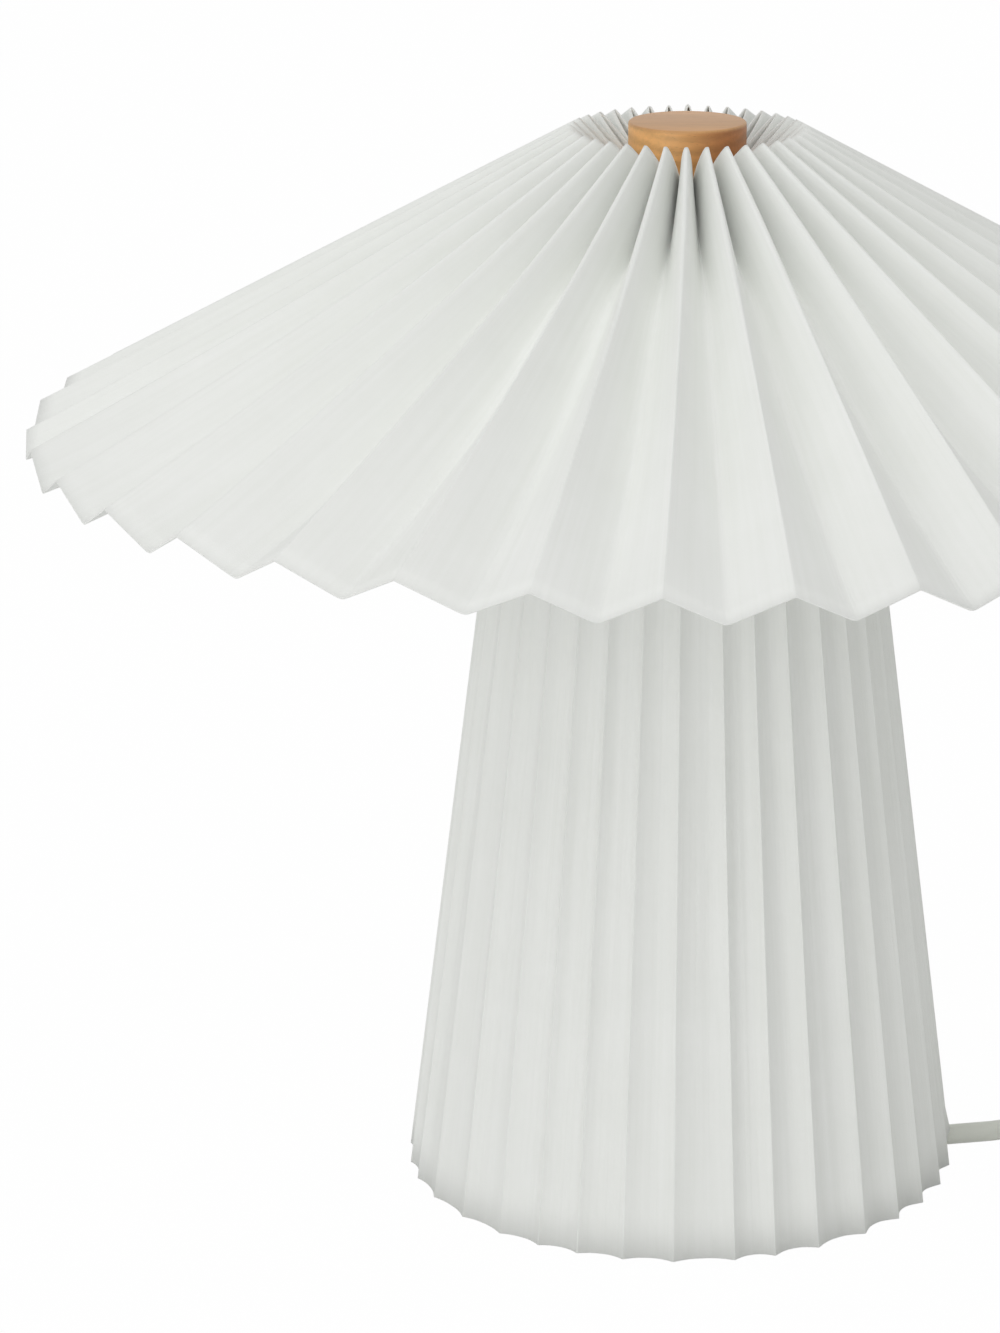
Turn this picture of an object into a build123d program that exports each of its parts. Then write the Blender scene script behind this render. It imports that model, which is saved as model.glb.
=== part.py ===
from build123d import *
import os
from math import atan2, cos, degrees, hypot, pi, radians, sin, sqrt, tan

# Pleated paper table lamp. Millimetres, +Z up, origin on the floor at the centre of the base.
# The front of the lamp is -Y. The cord leaves on the right, +X.

# ---- Pleated paper ----
PLEATS = 36
PAPER = 0.5  # laminated paper, thickness
GLUE_GAP = 0.3  # between paper and what carries it
SHADE_RADIUS = 225.0  # where the ridges end at the rim
SHADE_TOP_RADIUS = 40.0  # where the ridges start
SHADE_TOP_Z = 374.3
SHADE_DROP = 100.8  # how far the ridges fall from the top to the rim
SHADE_RIM_DEPTH = 7.74  # of a fold, where the ridges end
SHADE_LEAD = 6.9  # the valleys start this much further in than the ridges
SHADE_TURN = -1.2  # degrees, place of the ridge nearest the front
SHADE_STATIONS = (0, 0.2, 0.5, 0.82, 1)  # shares of the slope where the valley is set out
TRUNK_RADIUS = 97.9
TRUNK_TOP_RADIUS = 61.7
TRUNK_TOP = 284.0
TRUNK_HEM_DEPTH = 5.39  # of a fold, at the floor
TRUNK_TURN = -0.5
HEM = 0.3  # the hem's height over the floor

# ---- Base ----
FOOT = 2.0  # thickness of a felt foot
FOOT_RADIUS = 9.0
FOOT_CIRCLE_RADIUS = 70.0
FEET = 4
PLATE_RADIUS = 86.0
PLATE = 8.0
PLATE_EDGE = 0.8
RING_HOLD = 87.0  # inside of the trunk ring's wall
RING_FOOT = 3.0  # lower edge of that wall
RING_FLANGE = 1.5
RING_FLANGE_INNER = 72.0
RING_SCREW_CIRCLE_RADIUS = 78.0
RING_SCREWS = 3

# ---- Screws ----
SCREW = 1.9  # shank radius of a countersunk M4
SCREW_HEAD = 3.8
SCREW_HEAD_HEIGHT = 2.0
SCREW_LENGTH = 7.5
SCREW_FIT = 0.1

# ---- Stem, bridge and nuts ----
STEM_RADIUS = 6.5
STEM_BORE = 4.5
STEM_FIT = 0.05
STEM_BOTTOM = 37.0
STEM_TOP = 182.0
BRIDGE_TOP = 44.0  # underside of the bridge's top
BRIDGE = 2.5  # thickness of the steel
BRIDGE_WIDTH = 24.0
BRIDGE_HALF_SPAN = 30.0
BRIDGE_TAB = 15.0
NUT_FLATS = 19.0
NUT = 4.0

# ---- Lampholder ----
HOLDER_BOTTOM = 172.0
HOLDER_RADIUS = 19.5
HOLDER_WALL = 1.6
CAP_HEIGHT = 20.0
CAP_FLOOR = 5.0
CORE_BOTTOM = 186.0
CORE_TOP = 198.0
CORE_RADIUS = 17.6
SOCKET_TOP = 219.0
SOCKET_BORE = 13.6
SOCKET_WALL = 0.6
SLEEVE_TOP = 221.0
CONTACT_RADIUS = 4.0
CONTACT = 1.5
SHADE_RING = 3.5  # thickness of a ring nut
SHADE_RING_RADIUS = 26.0
SHADE_RING_Z = 204.0

# ---- Spider that carries the top of the trunk ----
SPIDER_PLATE = 2.5
SPIDER_PLATE_RADIUS = 30.0
SPIDER_WIRE = 1.5
SPIDER_ARMS = 3
SPIDER_KNEE_RADIUS = 33.0
SPIDER_KNEE_Z = 213.0
SPIDER_BEND = 4.0
BAND_HEIGHT = 11.0
BAND_SUNK = 3.0  # under the trunk's top edge
BAND_WALL = 2.0

# ---- Bulb ----
BULB_FIT = 0.4  # between the screw cap and the socket
BULB_CLEAR = 0.3  # between the bulb's tip and the contact
THREAD_PITCH = 3.6
THREAD_DEPTH = 0.8
THREAD_TURNS = 5
BULB_RADIUS = 30.0
BULB_BASE_HEIGHT = 40.0
BULB_TIP = 3.0
GLOBE_HEIGHT = 42.0
GLOBE_WALL = 1.2
BOARD_RADIUS = 22.0
BOARD = 1.6
LED = 3.0
LEDS = 8

# ---- Harp and finial ----
SADDLE = 1.5
SADDLE_WIDTH = 18.0
SADDLE_HALF = 25.5
SADDLE_EAR = 8.0
HARP_WIRE = 1.6
HARP_FOOT = 21.5
HARP_HALF = 44.0
HARP_SUNK = 6.5  # top of the wire under the hub
HARP_TOP_HALF = 18.0
HARP_BEND = 10.0
SLEEVE_RADIUS = 2.9
FINIAL_BLOCK_RADIUS = 7.0
FINIAL_DISC_RADIUS = 11.0
FINIAL_DISC = 2.5
STUD_RADIUS = 3.0
STUD_FIT = 0.05

# ---- Hub and wooden cap ----
HUB_HEIGHT = 12.5
HUB_SUNK = 20.8  # the hub's top under the top of the ridges
HUB_RADIUS = 46.0
HUB_FIT = 0.3
HUB_SEAT = 2.0  # how far the hub's flat underside passes the finial's disc
HUB_HOLLOW = 5.0
HUB_RIM = 4.0
WOOD_RADIUS = 20.0
WOOD_HEIGHT = 22.0
WOOD_ROUND = 1.0
INSERT_RADIUS = 5.5
INSERT_LENGTH = 13.8
INSERT_FLANGE = 7.5
INSERT_FLANGE_HEIGHT = 1.0
WASHER_RADIUS = 9.0
WASHER = 1.5
WASHER_SEAT = 0.2
STUD_REACH = 10.0  # thread that the cap has to come off

# ---- Cord ----
CORD = 7.2  # diameter
CORD_FIT = 0.05
CORD_EXIT = (98.7, 5.85)
CORD_HEADING = 12.2  # degrees from +X towards the back
CORD_BEND = 15.0  # distance from the exit to the bend inside the hem
GROMMET_RADIUS = 5.2
GROMMET_LENGTH = 7.0
SLOT_WIDTH = 8.6
SLOT_PAST = 6.0  # how far the slot runs past the middle
STEM_BEND = 33.0
CLAMP_AT = 58.0
CLAMP_SPAN = 36.0
CLAMP_WIDTH = 12.0
CLAMP = 2.0

# ---- Switch on the cord ----
SWITCH_X = 143.0
SWITCH_Y = 122.0
SWITCH_LENGTH = 58.0
SWITCH_WIDTH = 26.0
SWITCH_HALF_HEIGHT = 9.5
SWITCH_WALL = 2.0
SWITCH_CORNER = 8.0
SWITCH_SCREW_SPACING = 35.0
SWITCH_SCREW_HEAD = 3.0
SWITCH_CHAMFER = 1.2
SWITCH_ROUND = 1.5
ROCKER_LENGTH = 20.0
ROCKER_WIDTH = 10.0
ROCKER_FIT = 0.5
ROCKER_TILT = 7.0
ROCKER_LIFT = 1.2  # how far its ends rise over the switch when it is level
ROCKER_DIP = 0.4  # how far its middle lies below
ROCKER_SKIRT = 3.0  # depth below the pivot
ROCKER_TAPER = 0.5
PIVOT_WALL = 2.0
PIVOT_RADIUS = 1.25
PIVOT_Z = 15.0
PIVOT_FIT = 0.05
TERMINAL_WIDTH = 5.0
TERMINAL_LENGTH = 14.0
TERMINAL_SPACING = 11.0

# ---- Coil, tie and plug ----
COIL_X = 172.5
COIL_Y = -36.0
COIL_RADIUS = 46.5
COIL_PITCH = 7.8
COIL_LAYER = 7.75
HALF_TURNS_IN = 5
HALF_TURNS_OUT = 4
TIE = 0.7
TIE_WIDTH = 10.0
TIE_SLACK = 0.7
PLUG_X = 201.0
PLUG_REAR = -152.0
PLUG_NECK = 16.0
PLUG_NECK_RADIUS = 6.4
PLUG_LENGTH = 34.0
PLUG_WIDTH = 35.0
PLUG_NOSE = 26.0
PLUG_HEIGHT = 13.7
PLUG_CORNER = 2.0
PLUG_EDGE = 1.0
PLUG_TAIL = 1.0  # wall of the relief where the cord comes out
PIN_RADIUS = 2.0
PIN_LENGTH = 19.0
PIN_SPACING = 18.6

# ---- Worked out from the values above ----
CORD_RADIUS = CORD / 2
SLOPE = atan2(SHADE_DROP, SHADE_RADIUS - SHADE_TOP_RADIUS)
STEP = 360 / PLEATS
HALF_STEP = radians(STEP / 4)
SHADE_FACET = hypot(2 * SHADE_RADIUS * sin(HALF_STEP), SHADE_RIM_DEPTH)  # between two creases
TRUNK_FACET = hypot(2 * TRUNK_RADIUS * sin(HALF_STEP), TRUNK_HEM_DEPTH)
PLATE_TOP = FOOT + PLATE
COIL_FLOOR = CORD_RADIUS + TIE + 0.1
HUB_TOP = SHADE_TOP_Z - HUB_SUNK
HUB_BOTTOM = HUB_TOP - HUB_HEIGHT
HARP_TOP = HUB_BOTTOM - HARP_SUNK
WOOD_TOP = HUB_TOP + WOOD_HEIGHT
BAND_TOP = TRUNK_TOP - BAND_SUNK
BAND_BOTTOM = BAND_TOP - BAND_HEIGHT

# The route of the cord where it is not coiled. The points are chosen by hand.
LEAD_TO_SWITCH = [
    (98.7, 5.85, 3.6),
    (118.44, 10.12, 3.6),
    (134.2, 22.5, 3.6),
    (143.0, 40.4, 3.6),
    (143.0, 60.4, 3.6),
    (143.0, 80.0, 9.5),
    (143.0, 97.0, 9.5),
]
LEAD_TO_COIL = [
    (143.0, 147.0, 9.5),
    (143.0, 164.1, 9.5),
    (143.0, 197.0, 3.6),
    (165.8, 219.8, 3.6),
    (198.2, 219.8, 3.6),
    (221.0, 197.0, 3.6),
    (219.5, 142.0, 3.6),
    (216.0, 90.0, 3.6),
    (214.5, 42.0, 3.6),
    (216.0, 2.0, 3.6),
    (219.0, -21.0, 4.4),
    (219.0, -36.0, 4.4),
]
LEAD_TO_PLUG = [
    (211.2, -36.0, 12.15),
    (211.2, -70.0, 12.15),
    (207.5, -104.0, 8.8),
    (201.0, -134.0, 6.85),
    (201.0, -152.0, 6.85),
]


def spoke(turn):
    """The upright plane through the lamp's axis, turned from the front towards the right."""
    angle = radians(turn)
    return Plane(origin=(0, 0, 0), x_dir=(sin(angle), -cos(angle), 0), z_dir=(-cos(angle), -sin(angle), 0))


def profile(*outline, plane=Plane.XZ):
    """A closed outline of (radius, height) points as a face on an upright plane."""
    with BuildSketch(plane) as section:
        with BuildLine():
            Polyline(*outline, close=True)
        make_face()
    return section.sketch.face()


def crease_wire(outline, turn):
    """A closed outline on a spoke that keeps every one of its corners, also those in line."""
    plane = spoke(turn)
    corners = [plane.from_local_coords((radius, height, 0)) for radius, height in outline]
    return Wire.make_polygon(corners, close=True)


def save(piece, name):
    """Labels a finished piece and writes it as one STEP file."""
    piece.part.label = name
    export_step(piece.part, f"parts/{name}.step")


# ---- Pleated paper ----
def half_pitch(radius):
    """Straight distance between a ridge and the valley beside it, across the pleat."""
    return 2 * radius * sin(HALF_STEP)


def pleat_depth(radius, facet):
    """Depth that a facet of constant width leaves for the valley."""
    return sqrt(facet**2 - half_pitch(radius) ** 2)


def paper_across(radius, facet):
    """The paper's thickness measured across the pleat, where the facets stand steeply."""
    return PAPER * facet / half_pitch(radius)


def below(point, distance):
    """A point moved square to the shade's slope, towards the inside."""
    return (point[0] - distance * sin(SLOPE), point[1] - distance * cos(SLOPE))


def shade_ridge(radius):
    return (radius, SHADE_TOP_Z - (radius - SHADE_TOP_RADIUS) * tan(SLOPE))


def shade_valley(radius):
    return below(shade_ridge(radius), pleat_depth(radius, SHADE_FACET))


def shade_stations(first, last):
    return [first + share * (last - first) for share in SHADE_STATIONS]


RIDGE_STATIONS = shade_stations(SHADE_TOP_RADIUS, SHADE_RADIUS)
VALLEY_STATIONS = shade_stations(
    SHADE_TOP_RADIUS - SHADE_LEAD,
    SHADE_RADIUS + pleat_depth(SHADE_RADIUS, SHADE_FACET) * sin(SLOPE),
)


def crease_outline(line, stations):
    """The paper cut along one crease of the shade: the outside, then back along the inside."""
    outside = [line(radius) for radius in stations]
    inside = [below(line(radius), paper_across(radius, SHADE_FACET)) for radius in stations]
    return outside + inside[::-1]


def trunk_ridge(z):
    return TRUNK_RADIUS - (TRUNK_RADIUS - TRUNK_TOP_RADIUS) * z / TRUNK_TOP


def trunk_valley(z):
    return trunk_ridge(z) - pleat_depth(trunk_ridge(z), TRUNK_FACET)


def trunk_inside(z):
    """Radius left free inside the trunk's valleys at a height."""
    return trunk_valley(z) - paper_across(trunk_ridge(z), TRUNK_FACET)


def trunk_outline(line):
    thickness = [paper_across(trunk_ridge(z), TRUNK_FACET) for z in (HEM, TRUNK_TOP)]
    return [
        (line(HEM), HEM),
        (line(TRUNK_TOP), TRUNK_TOP),
        (line(TRUNK_TOP) - thickness[1], TRUNK_TOP),
        (line(HEM) - thickness[0], HEM),
    ]


def pleat(ridge, valley, turn):
    """One pleat, from a ridge through a valley to the next ridge."""
    creases = [
        crease_wire(ridge, turn),
        crease_wire(valley, turn + STEP / 2),
        crease_wire(ridge, turn + STEP),
    ]
    with BuildPart() as one:
        add(Solid.make_loft(creases, ruled=True))
    return one.part


def shade_paper():
    one = pleat(
        crease_outline(shade_ridge, RIDGE_STATIONS),
        crease_outline(shade_valley, VALLEY_STATIONS),
        SHADE_TURN,
    )
    with BuildPart() as shade:
        with PolarLocations(0, PLEATS):
            add(one)
    save(shade, "shade_paper")


def trunk_paper():
    one = pleat(trunk_outline(trunk_ridge), trunk_outline(trunk_valley), TRUNK_TURN)
    with BuildPart() as trunk:
        with PolarLocations(0, PLEATS):
            add(one)
        with BuildSketch(cord_plane(0)):
            Circle(GROMMET_RADIUS + GLUE_GAP)
        extrude(amount=CORD_BEND, both=True, mode=Mode.SUBTRACT)
    save(trunk, "trunk_paper")


# ---- Base ----
def cord_plane(inwards):
    """The plane square to the cord, a distance inwards from where it leaves the hem."""
    heading = radians(CORD_HEADING)
    x = CORD_EXIT[0] - inwards * cos(heading)
    y = CORD_EXIT[1] - inwards * sin(heading)
    return Plane(origin=(x, y, CORD_RADIUS), z_dir=(cos(heading), sin(heading), 0))


def bend_point():
    """Where the cord bends inside the hem, towards the lamp's axis."""
    place = cord_plane(CORD_BEND).origin
    return (place.X, place.Y)


def slot_heading():
    return degrees(atan2(bend_point()[1], bend_point()[0]))


def screw_outline(top):
    """Half the section of a countersunk screw whose head is flush at a height."""
    return [
        (0, top),
        (SCREW_HEAD, top),
        (SCREW, top - SCREW_HEAD_HEIGHT),
        (SCREW, top - SCREW_LENGTH),
        (0, top - SCREW_LENGTH),
    ]


def screw_hole(top):
    """What a screw needs cut away, with its clearance."""
    return [
        (0, top),
        (SCREW_HEAD + SCREW_FIT, top),
        (SCREW + SCREW_FIT, top - SCREW_HEAD_HEIGHT),
        (SCREW + SCREW_FIT, top - SCREW_LENGTH - SCREW_FIT),
        (0, top - SCREW_LENGTH - SCREW_FIT),
    ]


def turned(outline):
    """A solid of revolution about the Z axis."""
    with BuildPart() as piece:
        revolve(profile(*outline), axis=Axis.Z)
    return piece.part


RING_SCREW_TOP = PLATE_TOP + RING_FLANGE
CLAMP_TOP = PLATE_TOP + CLAMP
BRIDGE_FOOT_TOP = PLATE_TOP + BRIDGE
CLAMP_SCREW_OFFSET = CLAMP_SPAN / 2 - SCREW_HEAD - 1


def ring_screw_places():
    return PolarLocations(RING_SCREW_CIRCLE_RADIUS, RING_SCREWS, start_angle=60)


def bridge_screw_places():
    offset = BRIDGE_HALF_SPAN + BRIDGE_TAB / 2
    return Locations((0, offset), (0, -offset))


def clamp_screw_places():
    angle = slot_heading()
    along = Vector(CLAMP_AT, 0).rotate(Axis.Z, angle)
    across = Vector(0, CLAMP_SCREW_OFFSET).rotate(Axis.Z, angle)
    return Locations(along + across, along - across)


def base_plate():
    with BuildPart() as plate:
        with BuildSketch(Plane.XY.offset(FOOT)):
            Circle(PLATE_RADIUS)
        extrude(amount=PLATE)
        fillet(plate.edges().filter_by(GeomType.CIRCLE).group_by(Axis.Z)[-1], PLATE_EDGE)
        with BuildSketch(Plane.XY):
            with Locations(Rotation(0, 0, slot_heading())):
                with Locations((PLATE_RADIUS / 2 - SLOT_PAST / 2, 0)):
                    Rectangle(PLATE_RADIUS + SLOT_PAST, SLOT_WIDTH)
        extrude(amount=2 * PLATE_TOP, mode=Mode.SUBTRACT)
        with ring_screw_places():
            add(turned(screw_hole(RING_SCREW_TOP)), mode=Mode.SUBTRACT)
        with bridge_screw_places():
            add(turned(screw_hole(BRIDGE_FOOT_TOP)), mode=Mode.SUBTRACT)
        with clamp_screw_places():
            add(turned(screw_hole(CLAMP_TOP)), mode=Mode.SUBTRACT)
    save(plate, "base_plate")


def felt_feet():
    with BuildPart() as feet:
        with BuildSketch(Plane.XY):
            with PolarLocations(FOOT_CIRCLE_RADIUS, FEET, start_angle=45):
                Circle(FOOT_RADIUS)
        extrude(amount=FOOT)
    save(feet, "felt_feet")


def trunk_ring():
    outside = [trunk_inside(z) - GLUE_GAP for z in (RING_FOOT, RING_SCREW_TOP)]
    with BuildPart() as ring:
        revolve(
            profile(
                (RING_HOLD, RING_FOOT),
                (outside[0], RING_FOOT),
                (outside[1], RING_SCREW_TOP),
                (RING_FLANGE_INNER, RING_SCREW_TOP),
                (RING_FLANGE_INNER, PLATE_TOP),
                (RING_HOLD, PLATE_TOP),
            ),
            axis=Axis.Z,
        )
        with ring_screw_places():
            add(turned(screw_hole(RING_SCREW_TOP)), mode=Mode.SUBTRACT)
        with BuildSketch(cord_plane(0)):
            Circle(GROMMET_RADIUS)
        extrude(amount=-2 * CORD_BEND, mode=Mode.SUBTRACT)
    save(ring, "trunk_ring")


def cord_grommet():
    with BuildPart() as grommet:
        with BuildSketch(cord_plane(CORD_BEND / 2 + GROMMET_LENGTH / 2)):
            with Locations((0, 0)):
                Circle(GROMMET_RADIUS)
                Circle(CORD_RADIUS + CORD_FIT, mode=Mode.SUBTRACT)
        extrude(amount=GROMMET_LENGTH)
        with BuildSketch(Plane.XY.offset(-GROMMET_RADIUS)):
            Circle(2 * PLATE_RADIUS)
        extrude(amount=GROMMET_RADIUS + HEM, mode=Mode.SUBTRACT)
    save(grommet, "cord_grommet")


def screws():
    with BuildPart() as ring_screws:
        with ring_screw_places():
            add(turned(screw_outline(RING_SCREW_TOP)))
    save(ring_screws, "ring_screws")
    with BuildPart() as bridge_screws:
        with bridge_screw_places():
            add(turned(screw_outline(BRIDGE_FOOT_TOP)))
    save(bridge_screws, "bridge_screws")
    with BuildPart() as clamp_screws:
        with clamp_screw_places():
            add(turned(screw_outline(CLAMP_TOP)))
    save(clamp_screws, "clamp_screws")


def cord_clamp():
    angle = slot_heading()
    with BuildPart() as clamp:
        with BuildSketch(Plane.XY.offset(PLATE_TOP)):
            with Locations(Rotation(0, 0, angle)):
                with Locations((CLAMP_AT, 0)):
                    RectangleRounded(CLAMP_WIDTH, CLAMP_SPAN, CLAMP_WIDTH / 4)
        extrude(amount=CLAMP)
        with BuildSketch(Plane.XY.offset(CORD)):
            with Locations(Rotation(0, 0, angle)):
                with Locations((CLAMP_AT, 0)):
                    Rectangle(CLAMP_WIDTH, SLOT_WIDTH - 4 * SCREW_FIT)
        extrude(amount=PLATE_TOP - CORD)
        with clamp_screw_places():
            add(turned(screw_hole(CLAMP_TOP)), mode=Mode.SUBTRACT)
    save(clamp, "cord_clamp")


# ---- Stem ----
def stem_bridge():
    outer, top = BRIDGE_HALF_SPAN, BRIDGE_TOP + BRIDGE
    with BuildPart() as bridge:
        with BuildSketch(Plane.YZ):
            with BuildLine():
                Polyline(
                    (-outer - BRIDGE_TAB, PLATE_TOP),
                    (-outer + BRIDGE, PLATE_TOP),
                    (-outer + BRIDGE, BRIDGE_TOP),
                    (outer - BRIDGE, BRIDGE_TOP),
                    (outer - BRIDGE, PLATE_TOP),
                    (outer + BRIDGE_TAB, PLATE_TOP),
                    (outer + BRIDGE_TAB, BRIDGE_FOOT_TOP),
                    (outer, BRIDGE_FOOT_TOP),
                    (outer, top),
                    (-outer, top),
                    (-outer, BRIDGE_FOOT_TOP),
                    (-outer - BRIDGE_TAB, BRIDGE_FOOT_TOP),
                    close=True,
                )
            make_face()
        extrude(amount=BRIDGE_WIDTH / 2, both=True)
        with BuildSketch(Plane.XY.offset(BRIDGE_TOP)):
            Circle(STEM_RADIUS + STEM_FIT)
        extrude(amount=BRIDGE, mode=Mode.SUBTRACT)
        with bridge_screw_places():
            add(turned(screw_hole(BRIDGE_FOOT_TOP)), mode=Mode.SUBTRACT)
    save(bridge, "stem_bridge")


def stem_tube():
    with BuildPart() as stem:
        with BuildSketch(Plane.XY.offset(STEM_BOTTOM)):
            Circle(STEM_RADIUS)
            Circle(STEM_BORE, mode=Mode.SUBTRACT)
        extrude(amount=STEM_TOP - STEM_BOTTOM)
    save(stem, "stem_tube")


def stem_nuts():
    heights = (BRIDGE_TOP - NUT, BRIDGE_TOP + BRIDGE, HOLDER_BOTTOM - SADDLE - NUT)
    with BuildPart() as nuts:
        for height in heights:
            with BuildSketch(Plane.XY.offset(height)):
                RegularPolygon(NUT_FLATS / 2, 6, major_radius=False)
                Circle(STEM_RADIUS + STEM_FIT, mode=Mode.SUBTRACT)
            extrude(amount=NUT)
    save(nuts, "stem_nuts")


def inner_lead():
    bend = bend_point()
    points = [
        (*CORD_EXIT, CORD_RADIUS),
        (*bend, CORD_RADIUS),
        (0, 0, CORD_RADIUS),
        (0, 0, CORE_BOTTOM),
    ]
    radii = corner_radii(points)
    radii[-1] = STEM_BEND
    with BuildPart() as lead:
        with BuildLine() as route:
            FilletPolyline(*points, radius=radii)
        with BuildSketch(Plane(origin=route.line @ 0, z_dir=route.line % 0)):
            Circle(CORD_RADIUS)
        sweep()
    save(lead, "inner_lead")


# ---- Lampholder ----
def lampholder():
    inner = HOLDER_RADIUS - HOLDER_WALL
    cap_top = HOLDER_BOTTOM + CAP_HEIGHT
    with BuildPart() as cap:
        revolve(
            profile(
                (STEM_RADIUS + STEM_FIT, HOLDER_BOTTOM),
                (HOLDER_RADIUS - CAP_FLOOR, HOLDER_BOTTOM),
                (HOLDER_RADIUS, HOLDER_BOTTOM + 2 * CAP_FLOOR),
                (HOLDER_RADIUS, cap_top),
                (inner, cap_top),
                (inner, HOLDER_BOTTOM + 2 * CAP_FLOOR),
                (inner - CAP_FLOOR, HOLDER_BOTTOM + CAP_FLOOR),
                (STEM_RADIUS + STEM_FIT, HOLDER_BOTTOM + CAP_FLOOR),
            ),
            axis=Axis.Z,
        )
    save(cap, "lampholder_cap")
    with BuildPart() as sleeve:
        revolve(
            profile(
                (inner, cap_top),
                (HOLDER_RADIUS, cap_top),
                (HOLDER_RADIUS, SLEEVE_TOP),
                (SOCKET_BORE + SOCKET_WALL, SLEEVE_TOP),
                (SOCKET_BORE + SOCKET_WALL, SOCKET_TOP),
                (inner, SOCKET_TOP),
            ),
            axis=Axis.Z,
        )
    save(sleeve, "lampholder_sleeve")
    with BuildPart() as core:
        revolve(
            profile((0, CORE_BOTTOM), (CORE_RADIUS, CORE_BOTTOM), (CORE_RADIUS, CORE_TOP), (0, CORE_TOP)),
            axis=Axis.Z,
        )
    save(core, "lampholder_core")
    with BuildPart() as shell:
        with BuildSketch(Plane.XY.offset(CORE_TOP)):
            Circle(SOCKET_BORE + SOCKET_WALL)
            Circle(SOCKET_BORE, mode=Mode.SUBTRACT)
        extrude(amount=SOCKET_TOP - CORE_TOP)
    save(shell, "socket_shell")
    with BuildPart() as contact:
        with BuildSketch(Plane.XY.offset(CORE_TOP)):
            Circle(CONTACT_RADIUS)
        extrude(amount=CONTACT)
        fillet(contact.edges().group_by(Axis.Z)[-1], CONTACT / 3)
    save(contact, "socket_contact")


def shade_rings():
    with BuildPart() as rings:
        for height in (SHADE_RING_Z, SHADE_RING_Z + SHADE_RING + SPIDER_PLATE):
            with BuildSketch(Plane.XY.offset(height)):
                Circle(SHADE_RING_RADIUS)
                Circle(HOLDER_RADIUS + STEM_FIT, mode=Mode.SUBTRACT)
            extrude(amount=SHADE_RING)
    save(rings, "shade_rings")


SPIDER_Z = SHADE_RING_Z + SHADE_RING
WIRE_Z = SPIDER_Z + SPIDER_PLATE / 2


def band_radius(z):
    return trunk_inside(z) - GLUE_GAP


def spider_arms(radius):
    """Three bent wires from the plate up to the band."""
    inner = SPIDER_PLATE_RADIUS - SPIDER_PLATE
    outer = band_radius(BAND_BOTTOM) - BAND_WALL / 2
    with BuildPart() as arms:
        for arm in range(SPIDER_ARMS):
            plane = spoke(arm * 360 / SPIDER_ARMS)
            with BuildLine(plane) as route:
                FilletPolyline(
                    (inner, WIRE_Z),
                    (SPIDER_KNEE_RADIUS, SPIDER_KNEE_Z),
                    (outer, BAND_BOTTOM + 2 * SPIDER_WIRE),
                    radius=SPIDER_BEND,
                )
            with BuildSketch(Plane(origin=route.line @ 0, z_dir=route.line % 0)):
                Circle(radius)
            sweep()
    return arms


def trunk_spider():
    """A pressed plate and a rolled band, drilled for the wires that are welded between them."""
    with BuildPart() as plate:
        with BuildSketch(Plane.XY.offset(SPIDER_Z)):
            Circle(SPIDER_PLATE_RADIUS)
            Circle(HOLDER_RADIUS + STEM_FIT, mode=Mode.SUBTRACT)
        extrude(amount=SPIDER_PLATE)
        add(spider_arms(SPIDER_WIRE + STEM_FIT).part, mode=Mode.SUBTRACT)
    save(plate, "spider_plate")
    bottom, top = band_radius(BAND_BOTTOM), band_radius(BAND_TOP)
    with BuildPart() as band:
        revolve(
            profile(
                (bottom - BAND_WALL, BAND_BOTTOM),
                (bottom, BAND_BOTTOM),
                (top, BAND_TOP),
                (top - BAND_WALL, BAND_TOP),
            ),
            axis=Axis.Z,
        )
        add(spider_arms(SPIDER_WIRE + STEM_FIT).part, mode=Mode.SUBTRACT)
    save(band, "spider_band")
    save(spider_arms(SPIDER_WIRE), "spider_arms")


# ---- Bulb ----
BULB_BOTTOM = CORE_TOP + CONTACT + BULB_CLEAR
BULB_CAP_RADIUS = SOCKET_BORE - BULB_FIT
BULB_CAP_BOTTOM = BULB_BOTTOM + BULB_TIP
BULB_CAP_TOP = BULB_CAP_BOTTOM + THREAD_TURNS * THREAD_PITCH
BULB_BASE_TOP = BULB_CAP_TOP + BULB_BASE_HEIGHT


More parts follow.
